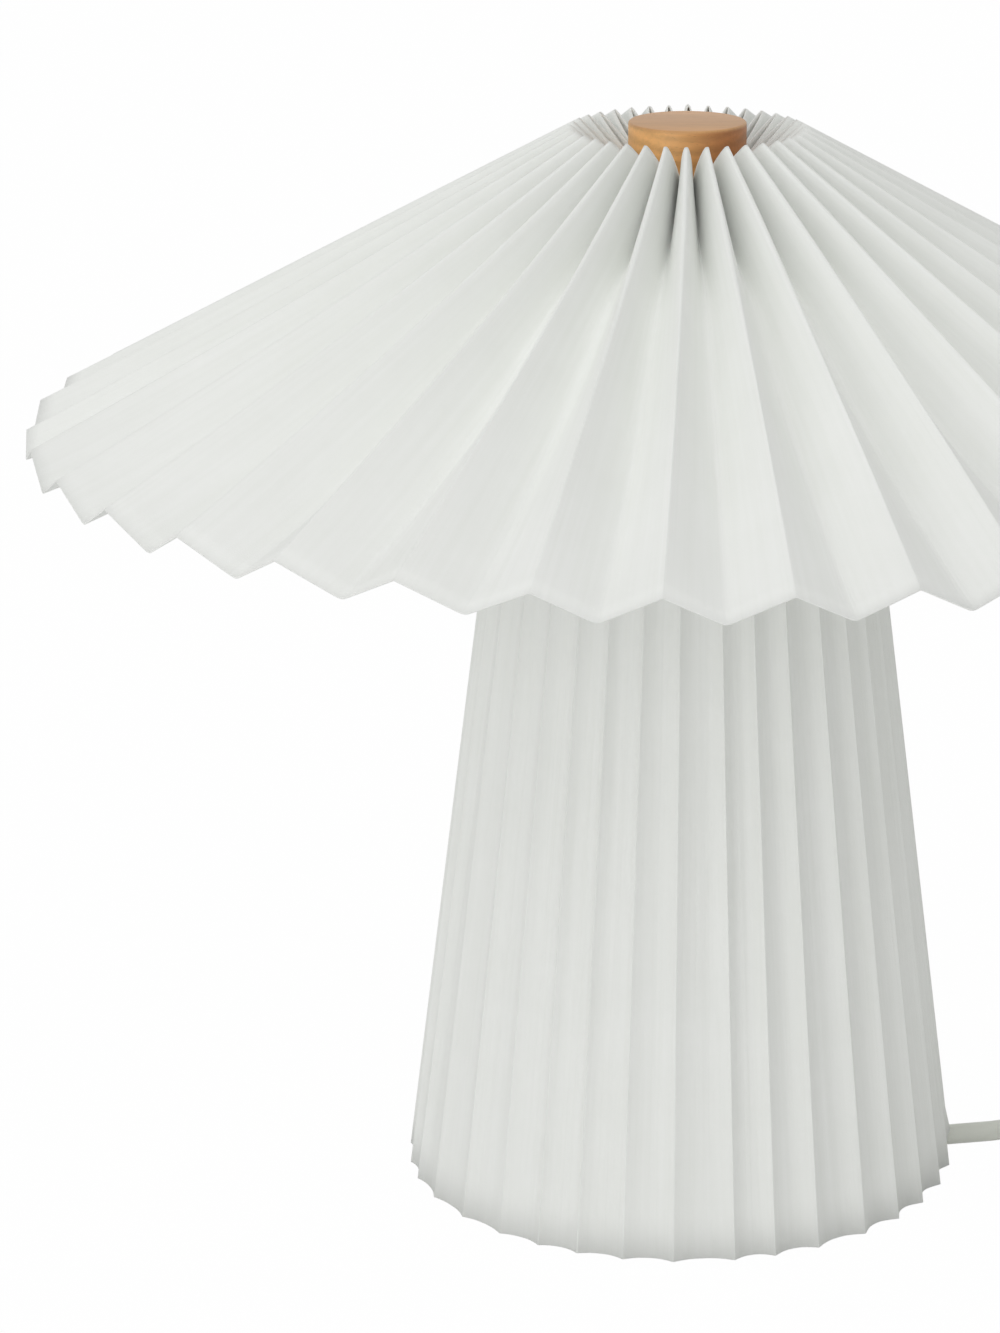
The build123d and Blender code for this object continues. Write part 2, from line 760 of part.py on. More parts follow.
def bulb():
    crests = [(0, BULB_CAP_BOTTOM), (BULB_CAP_RADIUS - THREAD_DEPTH, BULB_CAP_BOTTOM)]
    for turn in range(THREAD_TURNS):
        middle = BULB_CAP_BOTTOM + (turn + 0.5) * THREAD_PITCH
        crests.append((BULB_CAP_RADIUS, middle))
        crests.append((BULB_CAP_RADIUS - THREAD_DEPTH, middle + THREAD_PITCH / 2))
    crests.append((0, BULB_CAP_TOP))
    with BuildPart() as cap:
        revolve(profile(*crests), axis=Axis.Z)
    save(cap, "bulb_cap")
    with BuildPart() as tip:
        revolve(
            profile(
                (0, BULB_BOTTOM),
                (CONTACT_RADIUS, BULB_BOTTOM),
                (BULB_CAP_RADIUS - 2 * THREAD_DEPTH, BULB_CAP_BOTTOM),
                (0, BULB_CAP_BOTTOM),
            ),
            axis=Axis.Z,
        )
    save(tip, "bulb_tip")
    with BuildPart() as base:
        with BuildSketch(Plane.XZ):
            with BuildLine():
                Line((0, BULB_CAP_TOP), (BULB_CAP_RADIUS, BULB_CAP_TOP))
                Spline(
                    (BULB_CAP_RADIUS, BULB_CAP_TOP),
                    (BULB_RADIUS * 0.62, BULB_CAP_TOP + BULB_BASE_HEIGHT / 2),
                    (BULB_RADIUS, BULB_BASE_TOP),
                    tangents=((0.1, 1), (0.25, 1)),
                )
                Line((BULB_RADIUS, BULB_BASE_TOP), (0, BULB_BASE_TOP))
                Line((0, BULB_BASE_TOP), (0, BULB_CAP_TOP))
            make_face()
        revolve(axis=Axis.Z)
    save(base, "bulb_base")
    with BuildPart() as board:
        with BuildSketch(Plane.XY.offset(BULB_BASE_TOP)):
            Circle(BOARD_RADIUS)
        extrude(amount=BOARD)
        with BuildSketch(Plane.XY.offset(BULB_BASE_TOP + BOARD)):
            with PolarLocations(BOARD_RADIUS * 0.65, LEDS):
                Rectangle(LED, LED)
        extrude(amount=BOARD / 2)
    save(board, "led_board")
    with BuildPart() as globe:
        revolve(globe_section(BULB_RADIUS, GLOBE_HEIGHT), axis=Axis.Z)
        revolve(
            globe_section(BULB_RADIUS - GLOBE_WALL, GLOBE_HEIGHT - GLOBE_WALL), axis=Axis.Z, mode=Mode.SUBTRACT
        )
    save(globe, "bulb_globe")


def globe_section(radius, height):
    """Half the outline of the bulb's dome: a short swell, then a round top."""
    with BuildSketch(Plane.XZ) as section:
        with BuildLine():
            Line((0, BULB_BASE_TOP), (radius, BULB_BASE_TOP))
            Line((radius, BULB_BASE_TOP), (radius, BULB_BASE_TOP + height - radius))
            RadiusArc((radius, BULB_BASE_TOP + height - radius), (0, BULB_BASE_TOP + height), -radius)
            Line((0, BULB_BASE_TOP + height), (0, BULB_BASE_TOP))
        make_face()
    return section.sketch.face()


# ---- Harp and finial ----
def harp_saddle():
    bottom, ear = HOLDER_BOTTOM - SADDLE, HOLDER_BOTTOM + SADDLE_EAR
    inner = SADDLE_HALF - SADDLE
    with BuildPart() as saddle:
        with BuildSketch(Plane.XZ):
            with BuildLine():
                Polyline(
                    (-SADDLE_HALF, bottom),
                    (SADDLE_HALF, bottom),
                    (SADDLE_HALF, ear),
                    (inner, ear),
                    (inner, HOLDER_BOTTOM),
                    (-inner, HOLDER_BOTTOM),
                    (-inner, ear),
                    (-SADDLE_HALF, ear),
                    close=True,
                )
            make_face()
        extrude(amount=SADDLE_WIDTH / 2, both=True)
        with BuildSketch(Plane.XY.offset(bottom)):
            Circle(STEM_RADIUS + STEM_FIT)
        extrude(amount=SADDLE, mode=Mode.SUBTRACT)
    save(saddle, "harp_saddle")


def harp():
    right = [
        (HARP_FOOT, HOLDER_BOTTOM),
        (HARP_FOOT, HOLDER_BOTTOM + 2 * SADDLE_EAR),
        (HARP_HALF, HOLDER_BOTTOM + 7 * SADDLE_EAR),
        (HARP_HALF, HARP_TOP - HARP_HALF),
        (HARP_TOP_HALF, HARP_TOP),
    ]
    left = [(-x, z) for x, z in right[::-1]]
    with BuildPart() as wire:
        with BuildLine(Plane.XZ) as route:
            FilletPolyline(*right, *left, radius=HARP_BEND)
        with BuildSketch(Plane(origin=route.line @ 0, z_dir=route.line % 0)):
            Circle(HARP_WIRE)
        sweep()
    save(wire, "harp_wire")
    with BuildPart() as sleeves:
        with BuildSketch(Plane.XY.offset(HOLDER_BOTTOM)):
            with Locations((HARP_FOOT, 0), (-HARP_FOOT, 0)):
                Circle(min(SLEEVE_RADIUS, SADDLE_HALF - SADDLE - HARP_FOOT))
                Circle(HARP_WIRE + STEM_FIT, mode=Mode.SUBTRACT)
        extrude(amount=SADDLE_EAR)
    save(sleeves, "harp_sleeves")


def finial_stud():
    disc_bottom = HUB_BOTTOM - FINIAL_DISC
    top = WASHER_TOP + STUD_REACH
    with BuildPart() as stud:
        revolve(
            profile(
                (0, HARP_TOP - 3 * HARP_WIRE),
                (FINIAL_BLOCK_RADIUS, HARP_TOP - 3 * HARP_WIRE),
                (FINIAL_BLOCK_RADIUS, disc_bottom),
                (FINIAL_DISC_RADIUS, disc_bottom),
                (FINIAL_DISC_RADIUS, HUB_BOTTOM),
                (STUD_RADIUS, HUB_BOTTOM),
                (STUD_RADIUS, top - STUD_RADIUS / 4),
                (STUD_RADIUS * 0.75, top),
                (0, top),
            ),
            axis=Axis.Z,
        )
        with BuildSketch(Plane.YZ.offset(-FINIAL_DISC_RADIUS)):
            with Locations((0, HARP_TOP)):
                Circle(HARP_WIRE + STEM_FIT)
        extrude(amount=2 * FINIAL_DISC_RADIUS, mode=Mode.SUBTRACT)
    save(stud, "finial_stud")


# ---- Hub and wooden cap ----
WASHER_TOP = HUB_TOP + WASHER
INSERT_BOTTOM = WASHER_TOP + WASHER_SEAT
FLANGE_TOP = INSERT_BOTTOM + INSERT_FLANGE_HEIGHT
INSERT_TOP = INSERT_BOTTOM + INSERT_LENGTH


def hub_cone(radius):
    """Height of the hub's cone, which lies just under the valleys of the shade."""
    ends = [below(shade_valley(r), paper_across(r, SHADE_FACET)) for r in VALLEY_STATIONS[:2]]
    (r0, z0), (r1, z1) = ends
    return z0 + (z1 - z0) * (radius - r0) / (r1 - r0) - GLUE_GAP


def shade_hub():
    slope = (hub_cone(HUB_RADIUS) - hub_cone(0)) / HUB_RADIUS
    flat_radius = (HUB_TOP - hub_cone(0)) / slope
    bore = STUD_RADIUS + HUB_FIT
    with BuildPart() as hub:
        revolve(
            profile(
                (bore, HUB_BOTTOM),
                (FINIAL_DISC_RADIUS + HUB_SEAT, HUB_BOTTOM),
                (FINIAL_DISC_RADIUS + HUB_SEAT + HUB_RIM, HUB_BOTTOM + HUB_HOLLOW),
                (flat_radius + HUB_RIM, HUB_BOTTOM + HUB_HOLLOW),
                (HUB_RADIUS - HUB_RIM, HUB_BOTTOM),
                (HUB_RADIUS, HUB_BOTTOM),
                (HUB_RADIUS, hub_cone(HUB_RADIUS)),
                (flat_radius, HUB_TOP),
                (bore, HUB_TOP),
            ),
            axis=Axis.Z,
        )
    save(hub, "shade_hub")


def wood_cap():
    with BuildPart() as cap:
        revolve(
            profile(
                (WASHER_RADIUS + 2 * WASHER_SEAT, HUB_TOP),
                (WOOD_RADIUS, HUB_TOP),
                (WOOD_RADIUS, WOOD_TOP),
                (0, WOOD_TOP),
                (0, INSERT_TOP),
                (INSERT_RADIUS, INSERT_TOP),
                (INSERT_RADIUS, FLANGE_TOP),
                (INSERT_FLANGE, FLANGE_TOP),
                (INSERT_FLANGE, INSERT_BOTTOM),
                (WASHER_RADIUS + 2 * WASHER_SEAT, INSERT_BOTTOM),
            ),
            axis=Axis.Z,
        )
        fillet(cap.edges().group_by(Axis.Z)[-1], WOOD_ROUND)
    save(cap, "wood_cap")


def cap_insert():
    bore = STUD_RADIUS + STUD_FIT
    with BuildPart() as insert:
        revolve(
            profile(
                (bore, INSERT_BOTTOM),
                (INSERT_FLANGE, INSERT_BOTTOM),
                (INSERT_FLANGE, FLANGE_TOP),
                (INSERT_RADIUS, FLANGE_TOP),
                (INSERT_RADIUS, INSERT_TOP),
                (bore, INSERT_TOP),
            ),
            axis=Axis.Z,
        )
    save(insert, "cap_insert")


def cap_washer():
    with BuildPart() as washer:
        with BuildSketch(Plane.XY.offset(HUB_TOP)):
            Circle(WASHER_RADIUS)
            Circle(STUD_RADIUS + STUD_FIT, mode=Mode.SUBTRACT)
        extrude(amount=WASHER)
    save(washer, "cap_washer")


# ---- Cord ----
def corner_radii(points):
    """Each corner's arc, as large as the two runs beside it allow."""
    corners = [Vector(*point) for point in points]
    radii = []
    for before, here, after in zip(corners, corners[1:], corners[2:]):
        come, go = here - before, after - here
        turn = radians(come.get_angle(go))
        radii.append(0.45 * min(come.length, go.length) / tan(turn / 2))
    return radii


def lead(points, name):
    """A free stretch of the cord: straight runs joined by tangent arcs."""
    radii = corner_radii(points)
    with BuildPart() as cord:
        with BuildLine() as route:
            FilletPolyline(*points, radius=radii)
        with BuildSketch(Plane(origin=route.line @ 0, z_dir=route.line % 0)):
            Circle(CORD_RADIUS)
        sweep()
    expected = pi * CORD_RADIUS**2 * route.wire().length
    print(
        name,
        "length",
        round(route.wire().length, 1),
        "radii",
        [round(radius, 1) for radius in radii],
        "volume share",
        round(cord.part.volume / expected, 4),
    )
    save(cord, name)
    return route.wire().length


def coil_arcs():
    """The coil's half turns as (centre x, radius, height at the start, height at the end)."""
    arcs, x, side, height = [], COIL_X + COIL_RADIUS, 1, COIL_FLOOR
    for turn in range(HALF_TURNS_IN + 1 + HALF_TURNS_OUT):
        radius = COIL_RADIUS - min(turn, 2 * HALF_TURNS_IN - turn) * COIL_PITCH / 2
        climb = COIL_LAYER if turn == HALF_TURNS_IN else 0
        arcs.append((x - side * radius, radius, side, height, height + climb))
        x, side, height = x - 2 * side * radius, -side, height + climb
    return arcs


def coil_points(steps=24):
    """Points along the coil's centre line, for the gap between its turns."""
    points = []
    for centre, radius, side, low, high in coil_arcs():
        for step in range(steps):
            angle = pi * step / steps
            points.append(
                Vector(
                    centre + side * radius * cos(angle),
                    COIL_Y - side * radius * sin(angle),
                    low + (high - low) * step / steps,
                )
            )
    return points


def lead_coil():
    """The cord that is put away: one tube that winds in, climbs and winds out again."""
    with BuildPart() as coil:
        with BuildLine() as route:
            for centre, radius, side, low, high in coil_arcs():
                start = (centre + side * radius, COIL_Y, low)
                end = (centre - side * radius, COIL_Y, high)
                swing = hypot(radius, (high - low) / 2)
                middle = (centre, COIL_Y - side * swing, (low + high) / 2)
                TangentArc(start, middle, tangent=(0, -side, 0))
                TangentArc(middle, end, tangent=(-side * radius, 0, (high - low) / 2))
        with BuildSketch(Plane(origin=route.line @ 0, z_dir=route.line % 0)):
            Circle(CORD_RADIUS)
        sweep()
    points = coil_points()
    per_turn = len(points) // len(coil_arcs()) * 2
    gap = min(
        (points[i] - points[j]).length
        for i in range(len(points))
        for j in range(i + per_turn // 2, len(points))
    )
    print(
        "lead_coil length",
        round(route.wire().length, 1),
        "least gap between turns",
        round(gap - CORD, 2),
        "volume share",
        round(coil.part.volume / (pi * CORD_RADIUS**2 * route.wire().length), 4),
    )
    save(coil, "lead_coil")
    return route.wire().length


def coil_tie():
    """A strap round the bundle on the coil's left side."""
    outer_x = COIL_X - COIL_RADIUS - CORD_RADIUS - TIE_SLACK
    inner_x = COIL_X - COIL_RADIUS + (HALF_TURNS_IN - 1) * COIL_PITCH / 2 + CORD_RADIUS + TIE_SLACK
    low, high = TIE, COIL_FLOOR + COIL_LAYER + CORD_RADIUS + TIE_SLACK
    width, height = inner_x - outer_x, high - low
    with BuildPart() as tie:
        with BuildSketch(Plane.XZ.offset(-COIL_Y - TIE_WIDTH / 2)):
            with Locations(((inner_x + outer_x) / 2, (low + high) / 2)):
                RectangleRounded(width + 2 * TIE, height + 2 * TIE, 2 * TIE)
                RectangleRounded(width, height, TIE, mode=Mode.SUBTRACT)
        extrude(amount=TIE_WIDTH)
    save(tie, "coil_tie")


# ---- Switch on the cord ----
def switch_outline(shrink=0.0):
    with BuildSketch() as outline:
        RectangleRounded(SWITCH_WIDTH - 2 * shrink, SWITCH_LENGTH - 2 * shrink, SWITCH_CORNER - shrink)
    return outline.sketch.face()


def switch_screw_places():
    half = SWITCH_SCREW_SPACING / 2
    return Locations((SWITCH_X, SWITCH_Y + half), (SWITCH_X, SWITCH_Y - half))


def switch_shells():
    place = Location((SWITCH_X, SWITCH_Y, 0))
    with BuildPart() as lower:
        with Locations(place):
            add(extrude(switch_outline(), amount=SWITCH_HALF_HEIGHT, mode=Mode.PRIVATE))
        chamfer(lower.edges().group_by(Axis.Z)[0], SWITCH_CHAMFER)
        with Locations(Location((SWITCH_X, SWITCH_Y, SWITCH_WALL))):
            add(
                extrude(switch_outline(SWITCH_WALL), amount=SWITCH_HALF_HEIGHT, mode=Mode.PRIVATE),
                mode=Mode.SUBTRACT,
            )
        with BuildSketch(Plane.XY.offset(SWITCH_WALL)):
            with switch_screw_places():
                Circle(SCREW + SWITCH_WALL)
        extrude(amount=SWITCH_HALF_HEIGHT - SWITCH_WALL)
        with BuildSketch(Plane.XY):
            with switch_screw_places():
                Circle(SCREW)
        extrude(amount=SWITCH_HALF_HEIGHT, mode=Mode.SUBTRACT)
        with BuildSketch(Plane.XY):
            with switch_screw_places():
                Circle(SWITCH_SCREW_HEAD)
        extrude(amount=SWITCH_WALL, mode=Mode.SUBTRACT)
    with BuildPart() as upper:
        with Locations(Location((SWITCH_X, SWITCH_Y, SWITCH_HALF_HEIGHT))):
            add(extrude(switch_outline(), amount=SWITCH_HALF_HEIGHT, mode=Mode.PRIVATE))
        fillet(upper.edges().group_by(Axis.Z)[-1], SWITCH_ROUND)
        with Locations(Location((SWITCH_X, SWITCH_Y, SWITCH_HALF_HEIGHT))):
            add(
                extrude(
                    switch_outline(SWITCH_WALL), amount=SWITCH_HALF_HEIGHT - SWITCH_WALL, mode=Mode.PRIVATE
                ),
                mode=Mode.SUBTRACT,
            )
        with BuildSketch(Plane.XY.offset(SWITCH_HALF_HEIGHT)):
            with switch_screw_places():
                Circle(SCREW + SWITCH_WALL)
            for side in (1, -1):
                with Locations((SWITCH_X + side * (ROCKER_WIDTH + 2 * ROCKER_FIT + PIVOT_WALL) / 2, SWITCH_Y)):
                    Rectangle(PIVOT_WALL, 3 * SWITCH_WALL)
        extrude(amount=SWITCH_HALF_HEIGHT - SWITCH_WALL)
        with BuildSketch(Plane.XY.offset(SWITCH_HALF_HEIGHT)):
            with Locations((SWITCH_X, SWITCH_Y)):
                Rectangle(ROCKER_WIDTH + 2 * ROCKER_FIT, ROCKER_LENGTH + 2 * ROCKER_FIT)
        extrude(amount=SWITCH_HALF_HEIGHT, mode=Mode.SUBTRACT)
        with BuildSketch(Plane.XY.offset(SWITCH_HALF_HEIGHT)):
            with switch_screw_places():
                Circle(SCREW)
        extrude(amount=SWITCH_SCREW_BITE, mode=Mode.SUBTRACT)
        add(pivot(PIVOT_RADIUS + PIVOT_FIT), mode=Mode.SUBTRACT)
    for shell, name in ((lower, "switch_bottom"), (upper, "switch_top")):
        with BuildPart() as half:
            add(shell.part)
            for end in (1, -1):
                with BuildSketch(Plane.XZ.offset(-SWITCH_Y - end * SWITCH_LENGTH / 2 + end * SWITCH_WALL)):
                    with Locations((SWITCH_X, SWITCH_HALF_HEIGHT)):
                        Circle(CORD_RADIUS + CORD_FIT)
                extrude(amount=-end * 2 * SWITCH_WALL, mode=Mode.SUBTRACT)
        save(half, name)


SWITCH_SCREW_BITE = 5.0


def pivot(radius):
    """The rocker's pin, or the hole for it."""
    reach = ROCKER_WIDTH / 2 + ROCKER_FIT + PIVOT_WALL
    with BuildPart() as pin:
        with BuildSketch(Plane.YZ.offset(SWITCH_X - reach)):
            with Locations((SWITCH_Y, PIVOT_Z)):
                Circle(radius)
        extrude(amount=2 * reach)
    return pin.part


def switch_rocker():
    """The rocker is drawn level and then tipped about its pin, one end down."""
    half, top = ROCKER_LENGTH / 2, 2 * SWITCH_HALF_HEIGHT
    with BuildPart() as level:
        with BuildSketch(Plane.YZ.offset(SWITCH_X - ROCKER_WIDTH / 2)):
            with BuildLine():
                Polyline(
                    (SWITCH_Y - half + ROCKER_FIT + ROCKER_TAPER, PIVOT_Z - ROCKER_SKIRT),
                    (SWITCH_Y + half - ROCKER_FIT - ROCKER_TAPER, PIVOT_Z - ROCKER_SKIRT),
                    (SWITCH_Y + half - ROCKER_FIT, top + ROCKER_LIFT),
                    (SWITCH_Y, top - ROCKER_DIP),
                    (SWITCH_Y - half + ROCKER_FIT, top + ROCKER_LIFT),
                    close=True,
                )
            make_face()
        extrude(amount=ROCKER_WIDTH)
        add(pivot(PIVOT_RADIUS + PIVOT_FIT), mode=Mode.SUBTRACT)
    axis = Axis((SWITCH_X, SWITCH_Y, PIVOT_Z), (1, 0, 0))
    with BuildPart() as rocker:
        add(level.part.rotate(axis, ROCKER_TILT))
    save(rocker, "switch_rocker")
    with BuildPart() as pin:
        add(pivot(PIVOT_RADIUS))
    save(pin, "rocker_pin")


def switch_inside():
    """Brass terminal blocks on the floor of the switch, and the two screws that close it."""
    with BuildPart() as blocks:
        with BuildSketch(Plane.XY.offset(SWITCH_WALL)):
            for side in (1, -1):
                with Locations((SWITCH_X + side * TERMINAL_SPACING / 2, SWITCH_Y)):
                    Rectangle(TERMINAL_WIDTH, TERMINAL_LENGTH)
        extrude(amount=TERMINAL_WIDTH)
    save(blocks, "switch_terminals")
    with BuildPart() as closing:
        with BuildSketch(Plane.XY.offset(SWITCH_WALL / 4)):
            with switch_screw_places():
                Circle(SWITCH_SCREW_HEAD - SCREW_FIT)
        extrude(amount=SWITCH_WALL * 3 / 4)
        with BuildSketch(Plane.XY.offset(SWITCH_WALL)):
            with switch_screw_places():
                Circle(SCREW - SCREW_FIT)
        extrude(amount=SWITCH_HALF_HEIGHT - SWITCH_WALL + SWITCH_SCREW_BITE - SCREW_FIT)
    save(closing, "switch_screws")


# ---- Plug ----
def plug():
    middle = PLUG_HEIGHT / 2
    body_start = PLUG_REAR - PLUG_NECK
    body_end = body_start - PLUG_LENGTH
    with BuildPart() as body:
        with BuildSketch(Plane.XY):
            with BuildLine():
                Polyline(
                    (PLUG_X - PLUG_NECK_RADIUS, body_start),
                    (PLUG_X - PLUG_WIDTH / 2, body_start - PLUG_LENGTH / 3),
                    (PLUG_X - PLUG_NOSE / 2, body_end),
                    (PLUG_X + PLUG_NOSE / 2, body_end),
                    (PLUG_X + PLUG_WIDTH / 2, body_start - PLUG_LENGTH / 3),
                    (PLUG_X + PLUG_NECK_RADIUS, body_start),
                    close=True,
                )
            make_face()
        extrude(amount=PLUG_HEIGHT)
        fillet(body.edges().filter_by(Axis.Z), PLUG_CORNER)
        chamfer(body.faces().filter_by(Axis.Z).edges(), PLUG_EDGE)
        with BuildSketch(Plane.XZ.offset(-body_start)) as wide:
            with Locations((PLUG_X, middle)):
                Circle(PLUG_NECK_RADIUS)
        with BuildSketch(Plane.XZ.offset(-PLUG_REAR)) as narrow:
            with Locations((PLUG_X, middle)):
                Circle(CORD_RADIUS + PLUG_TAIL)
        loft()
    save(body, "plug_body")
    with BuildPart() as pins:
        with BuildSketch(Plane.XZ.offset(-body_end)):
            with Locations((PLUG_X - PIN_SPACING / 2, middle), (PLUG_X + PIN_SPACING / 2, middle)):
                Circle(PIN_RADIUS)
        extrude(amount=PIN_LENGTH)
        fillet(pins.faces().sort_by(Axis.Y)[:2].edges(), PIN_RADIUS * 0.6)
    save(pins, "plug_pins")


os.makedirs("parts", exist_ok=True)
shade_paper()
trunk_paper()
base_plate()
felt_feet()
trunk_ring()
cord_grommet()
screws()
cord_clamp()
stem_bridge()
stem_tube()
stem_nuts()
inner_lead()
lampholder()
shade_rings()
trunk_spider()
bulb()
harp_saddle()
harp()
finial_stud()
shade_hub()
wood_cap()
cap_insert()
cap_washer()
total = LEAD_TO_COIL[0][1] - LEAD_TO_SWITCH[-1][1]
total += lead(LEAD_TO_SWITCH, "lead_to_switch")
total += lead(LEAD_TO_COIL, "lead_to_coil")
total += lead_coil()
total += lead(LEAD_TO_PLUG, "lead_to_plug")
print("cord outside the lamp", round(total), "mm")
coil_tie()
switch_shells()
switch_rocker()
switch_inside()
plug()
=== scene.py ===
# %% [markdown]
# # A pleated paper table lamp
# The lamp is a paper cone, folded into 36 pleats, that hangs over a paper trunk folded the same
# way. A turned wooden cap screws down through the middle of the cone. The CAD model is loaded as
# a fixed frame, so that everything here is made in its place, in metres, with the floor at zero
# and the front of the lamp towards -Y. What the CAD model already has right keeps its shape and
# gets a finish. Paper, cord and whatever is soft is made anew.

from math import atan2, cos, pi, radians, sin, sqrt, tan

import bmesh
import bpy
from mathutils import Matrix, Vector, noise


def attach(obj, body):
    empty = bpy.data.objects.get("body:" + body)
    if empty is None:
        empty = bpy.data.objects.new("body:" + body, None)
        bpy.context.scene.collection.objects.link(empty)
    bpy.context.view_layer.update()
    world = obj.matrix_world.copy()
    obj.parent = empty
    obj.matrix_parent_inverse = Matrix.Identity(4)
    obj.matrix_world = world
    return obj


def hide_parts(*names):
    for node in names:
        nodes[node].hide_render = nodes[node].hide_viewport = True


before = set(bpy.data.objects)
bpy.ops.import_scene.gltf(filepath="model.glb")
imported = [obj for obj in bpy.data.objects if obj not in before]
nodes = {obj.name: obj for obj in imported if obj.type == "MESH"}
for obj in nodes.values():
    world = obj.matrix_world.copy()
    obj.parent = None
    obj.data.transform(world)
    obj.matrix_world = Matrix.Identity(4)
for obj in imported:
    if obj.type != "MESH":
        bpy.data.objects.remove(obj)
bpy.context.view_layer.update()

MM = 0.001


# %% [markdown]
# ## The camera
# The photo was taken from a little above, from about a metre and a half away, with a long lens.
# Its place, lens and tilt were worked out from the rim, the trunk and the cap. The picture is a
# crop from a wider one, so the lens is shifted sideways instead of turned, which would spread the
# pleats unevenly.

# %% Place the camera
FRAME_WIDTH, FRAME_HEIGHT = 1000, 1333  # pixels
FOCAL = 4365  # pixels
LENS_AXIS = 683.8  # pixels from the frame's left edge
CAMERA_BACK = 1.460
CAMERA_UP = 0.637
PITCH = radians(17.28)
ROLL = radians(0.39)
SENSOR = 36  # millimetres, along the frame's longer side

camera_data = bpy.data.cameras.new("camera")
camera = bpy.data.objects.new("camera", camera_data)
bpy.context.scene.collection.objects.link(camera)
camera_data.sensor_width = SENSOR
camera_data.lens = SENSOR * FOCAL / FRAME_HEIGHT
camera_data.shift_x = -(LENS_AXIS - FRAME_WIDTH / 2) / FRAME_HEIGHT
camera_data.clip_start = 0.05
camera.matrix_world = (
    Matrix.Translation((0, -CAMERA_BACK, CAMERA_UP))
    @ Matrix.Rotation(pi / 2 - PITCH, 4, "X")
    @ Matrix.Rotation(ROLL, 4, "Z")
)
bpy.context.scene.camera = camera
print("lens", round(camera_data.lens, 1), "mm")


# %% [markdown]
# ## The cord
# The photo shows only the first few centimetres of the mains cord, which leaves the hem on the
# right. The rest lies past the edge of the picture: a rocker switch, a neat coil and a plug. A
# cord could be swept from straight runs and arcs, as in the CAD model, but a real one bends in
# long even curves. So its line is one smooth spline through the route's points, and the turns of
# the coil are more points of the same spline.

# %% The cord's route
CORD = 7.2 * MM
# Points in millimetres. The cord lies on the floor at a height of 3.6, its own radius, and lifts
# where it enters the switch, the coil's upper turns and the plug.
LEAD_TO_SWITCH = [
    (98.7, 5.85, 3.6),
    (106.52, 7.54, 3.6),
    (118.44, 10.12, 3.6),
    (134.2, 22.5, 3.6),
    (143.0, 40.4, 3.6),
    (143.0, 60.4, 3.6),
    (143.0, 80.0, 9.5),
    (143.0, 97.0, 9.5),
]
LEAD_TO_COIL = [
    (143.0, 147.0, 9.5),
    (143.0, 164.1, 9.5),
    (143.0, 197.0, 3.6),
    (165.8, 219.8, 3.6),
    (198.2, 219.8, 3.6),
    (221.0, 197.0, 3.6),
    (219.5, 142.0, 3.6),
    (216.0, 90.0, 3.6),
    (214.5, 42.0, 3.6),
    (216.0, 2.0, 3.6),
    (219.0, -21.0, 4.4),
]
LEAD_TO_PLUG = [
    (211.2, -70.0, 12.15),
    (207.5, -104.0, 8.8),
    (201.0, -134.0, 6.85),
    (201.0, -152.0, 6.85),
]
print("free stretches:", len(LEAD_TO_SWITCH), len(LEAD_TO_COIL), len(LEAD_TO_PLUG), "points")

# %% The turns of the coil
COIL_X, COIL_Y = 172.5, -36.0
COIL_RADIUS = 46.5  # to the middle of the outermost turn
COIL_PITCH = 7.8  # from one turn to the next
COIL_FLOOR, COIL_LAYER = 4.4, 7.75  # height of the lower layer, and of the step to the upper one
TURNS_IN, TURNS_OUT = 5, 4  # half turns


def coil_points(steps=8):
    """Spline points round the coil: inwards on the floor, up a layer, and outwards on top."""
    spread = 1 / cos(pi / steps / 2)
    points, x, side, height = [], COIL_X + COIL_RADIUS, 1, COIL_FLOOR
    for turn in range(TURNS_IN + 1 + TURNS_OUT):
        radius = COIL_RADIUS - min(turn, 2 * TURNS_IN - turn) * COIL_PITCH / 2
        climb = COIL_LAYER if turn == TURNS_IN else 0
        centre = x - side * radius
        for step in range(steps):
            angle = pi * ((step + 0.5) / steps)
            points.append(
                (
                    centre + side * radius * spread * cos(angle),
                    COIL_Y - side * radius * spread * sin(angle),
                    height + climb * (1 - cos(angle)) / 2,
                )
            )
        x, side, height = x - 2 * side * radius, -side, height + climb
    return points


route = LEAD_TO_SWITCH + LEAD_TO_COIL + coil_points() + LEAD_TO_PLUG
print("route with", len(route), "points")


# %% Draw the cord
def tube(name, kind, line, radii, roundness):
    """A round curve object along points in metres, with a radius for each point."""
    curve = bpy.data.curves.new(name, "CURVE")
    curve.dimensions = "3D"
    spline = curve.splines.new(kind)
    spline.points.add(len(line) - 1)
    for place, point, radius in zip(spline.points, line, radii):
        place.co = (*point, 1)
        place.radius = radius
    # Blender multiplies each point's radius by the bevel's depth, so a depth of one metre lets
    # the points hold the true radii.
    curve.bevel_depth = 1
    curve.bevel_resolution = roundness
    curve.use_fill_caps = True
    piece = bpy.data.objects.new(name, curve)
    bpy.context.scene.collection.objects.link(piece)
    return piece


cord_line = [[value * MM for value in point] for point in route]
mains_cord = tube("mains_cord", "NURBS", cord_line, [CORD / 2] * len(route), roundness=6)
cord_spline = mains_cord.data.splines[0]
cord_spline.order_u = 3
cord_spline.use_endpoint_u = True
cord_spline.resolution_u = 6
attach(mains_cord, "base")
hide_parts("lead_to_switch", "lead_to_coil", "lead_coil", "lead_to_plug")
print("cord", round(CORD / MM, 1), "mm thick")


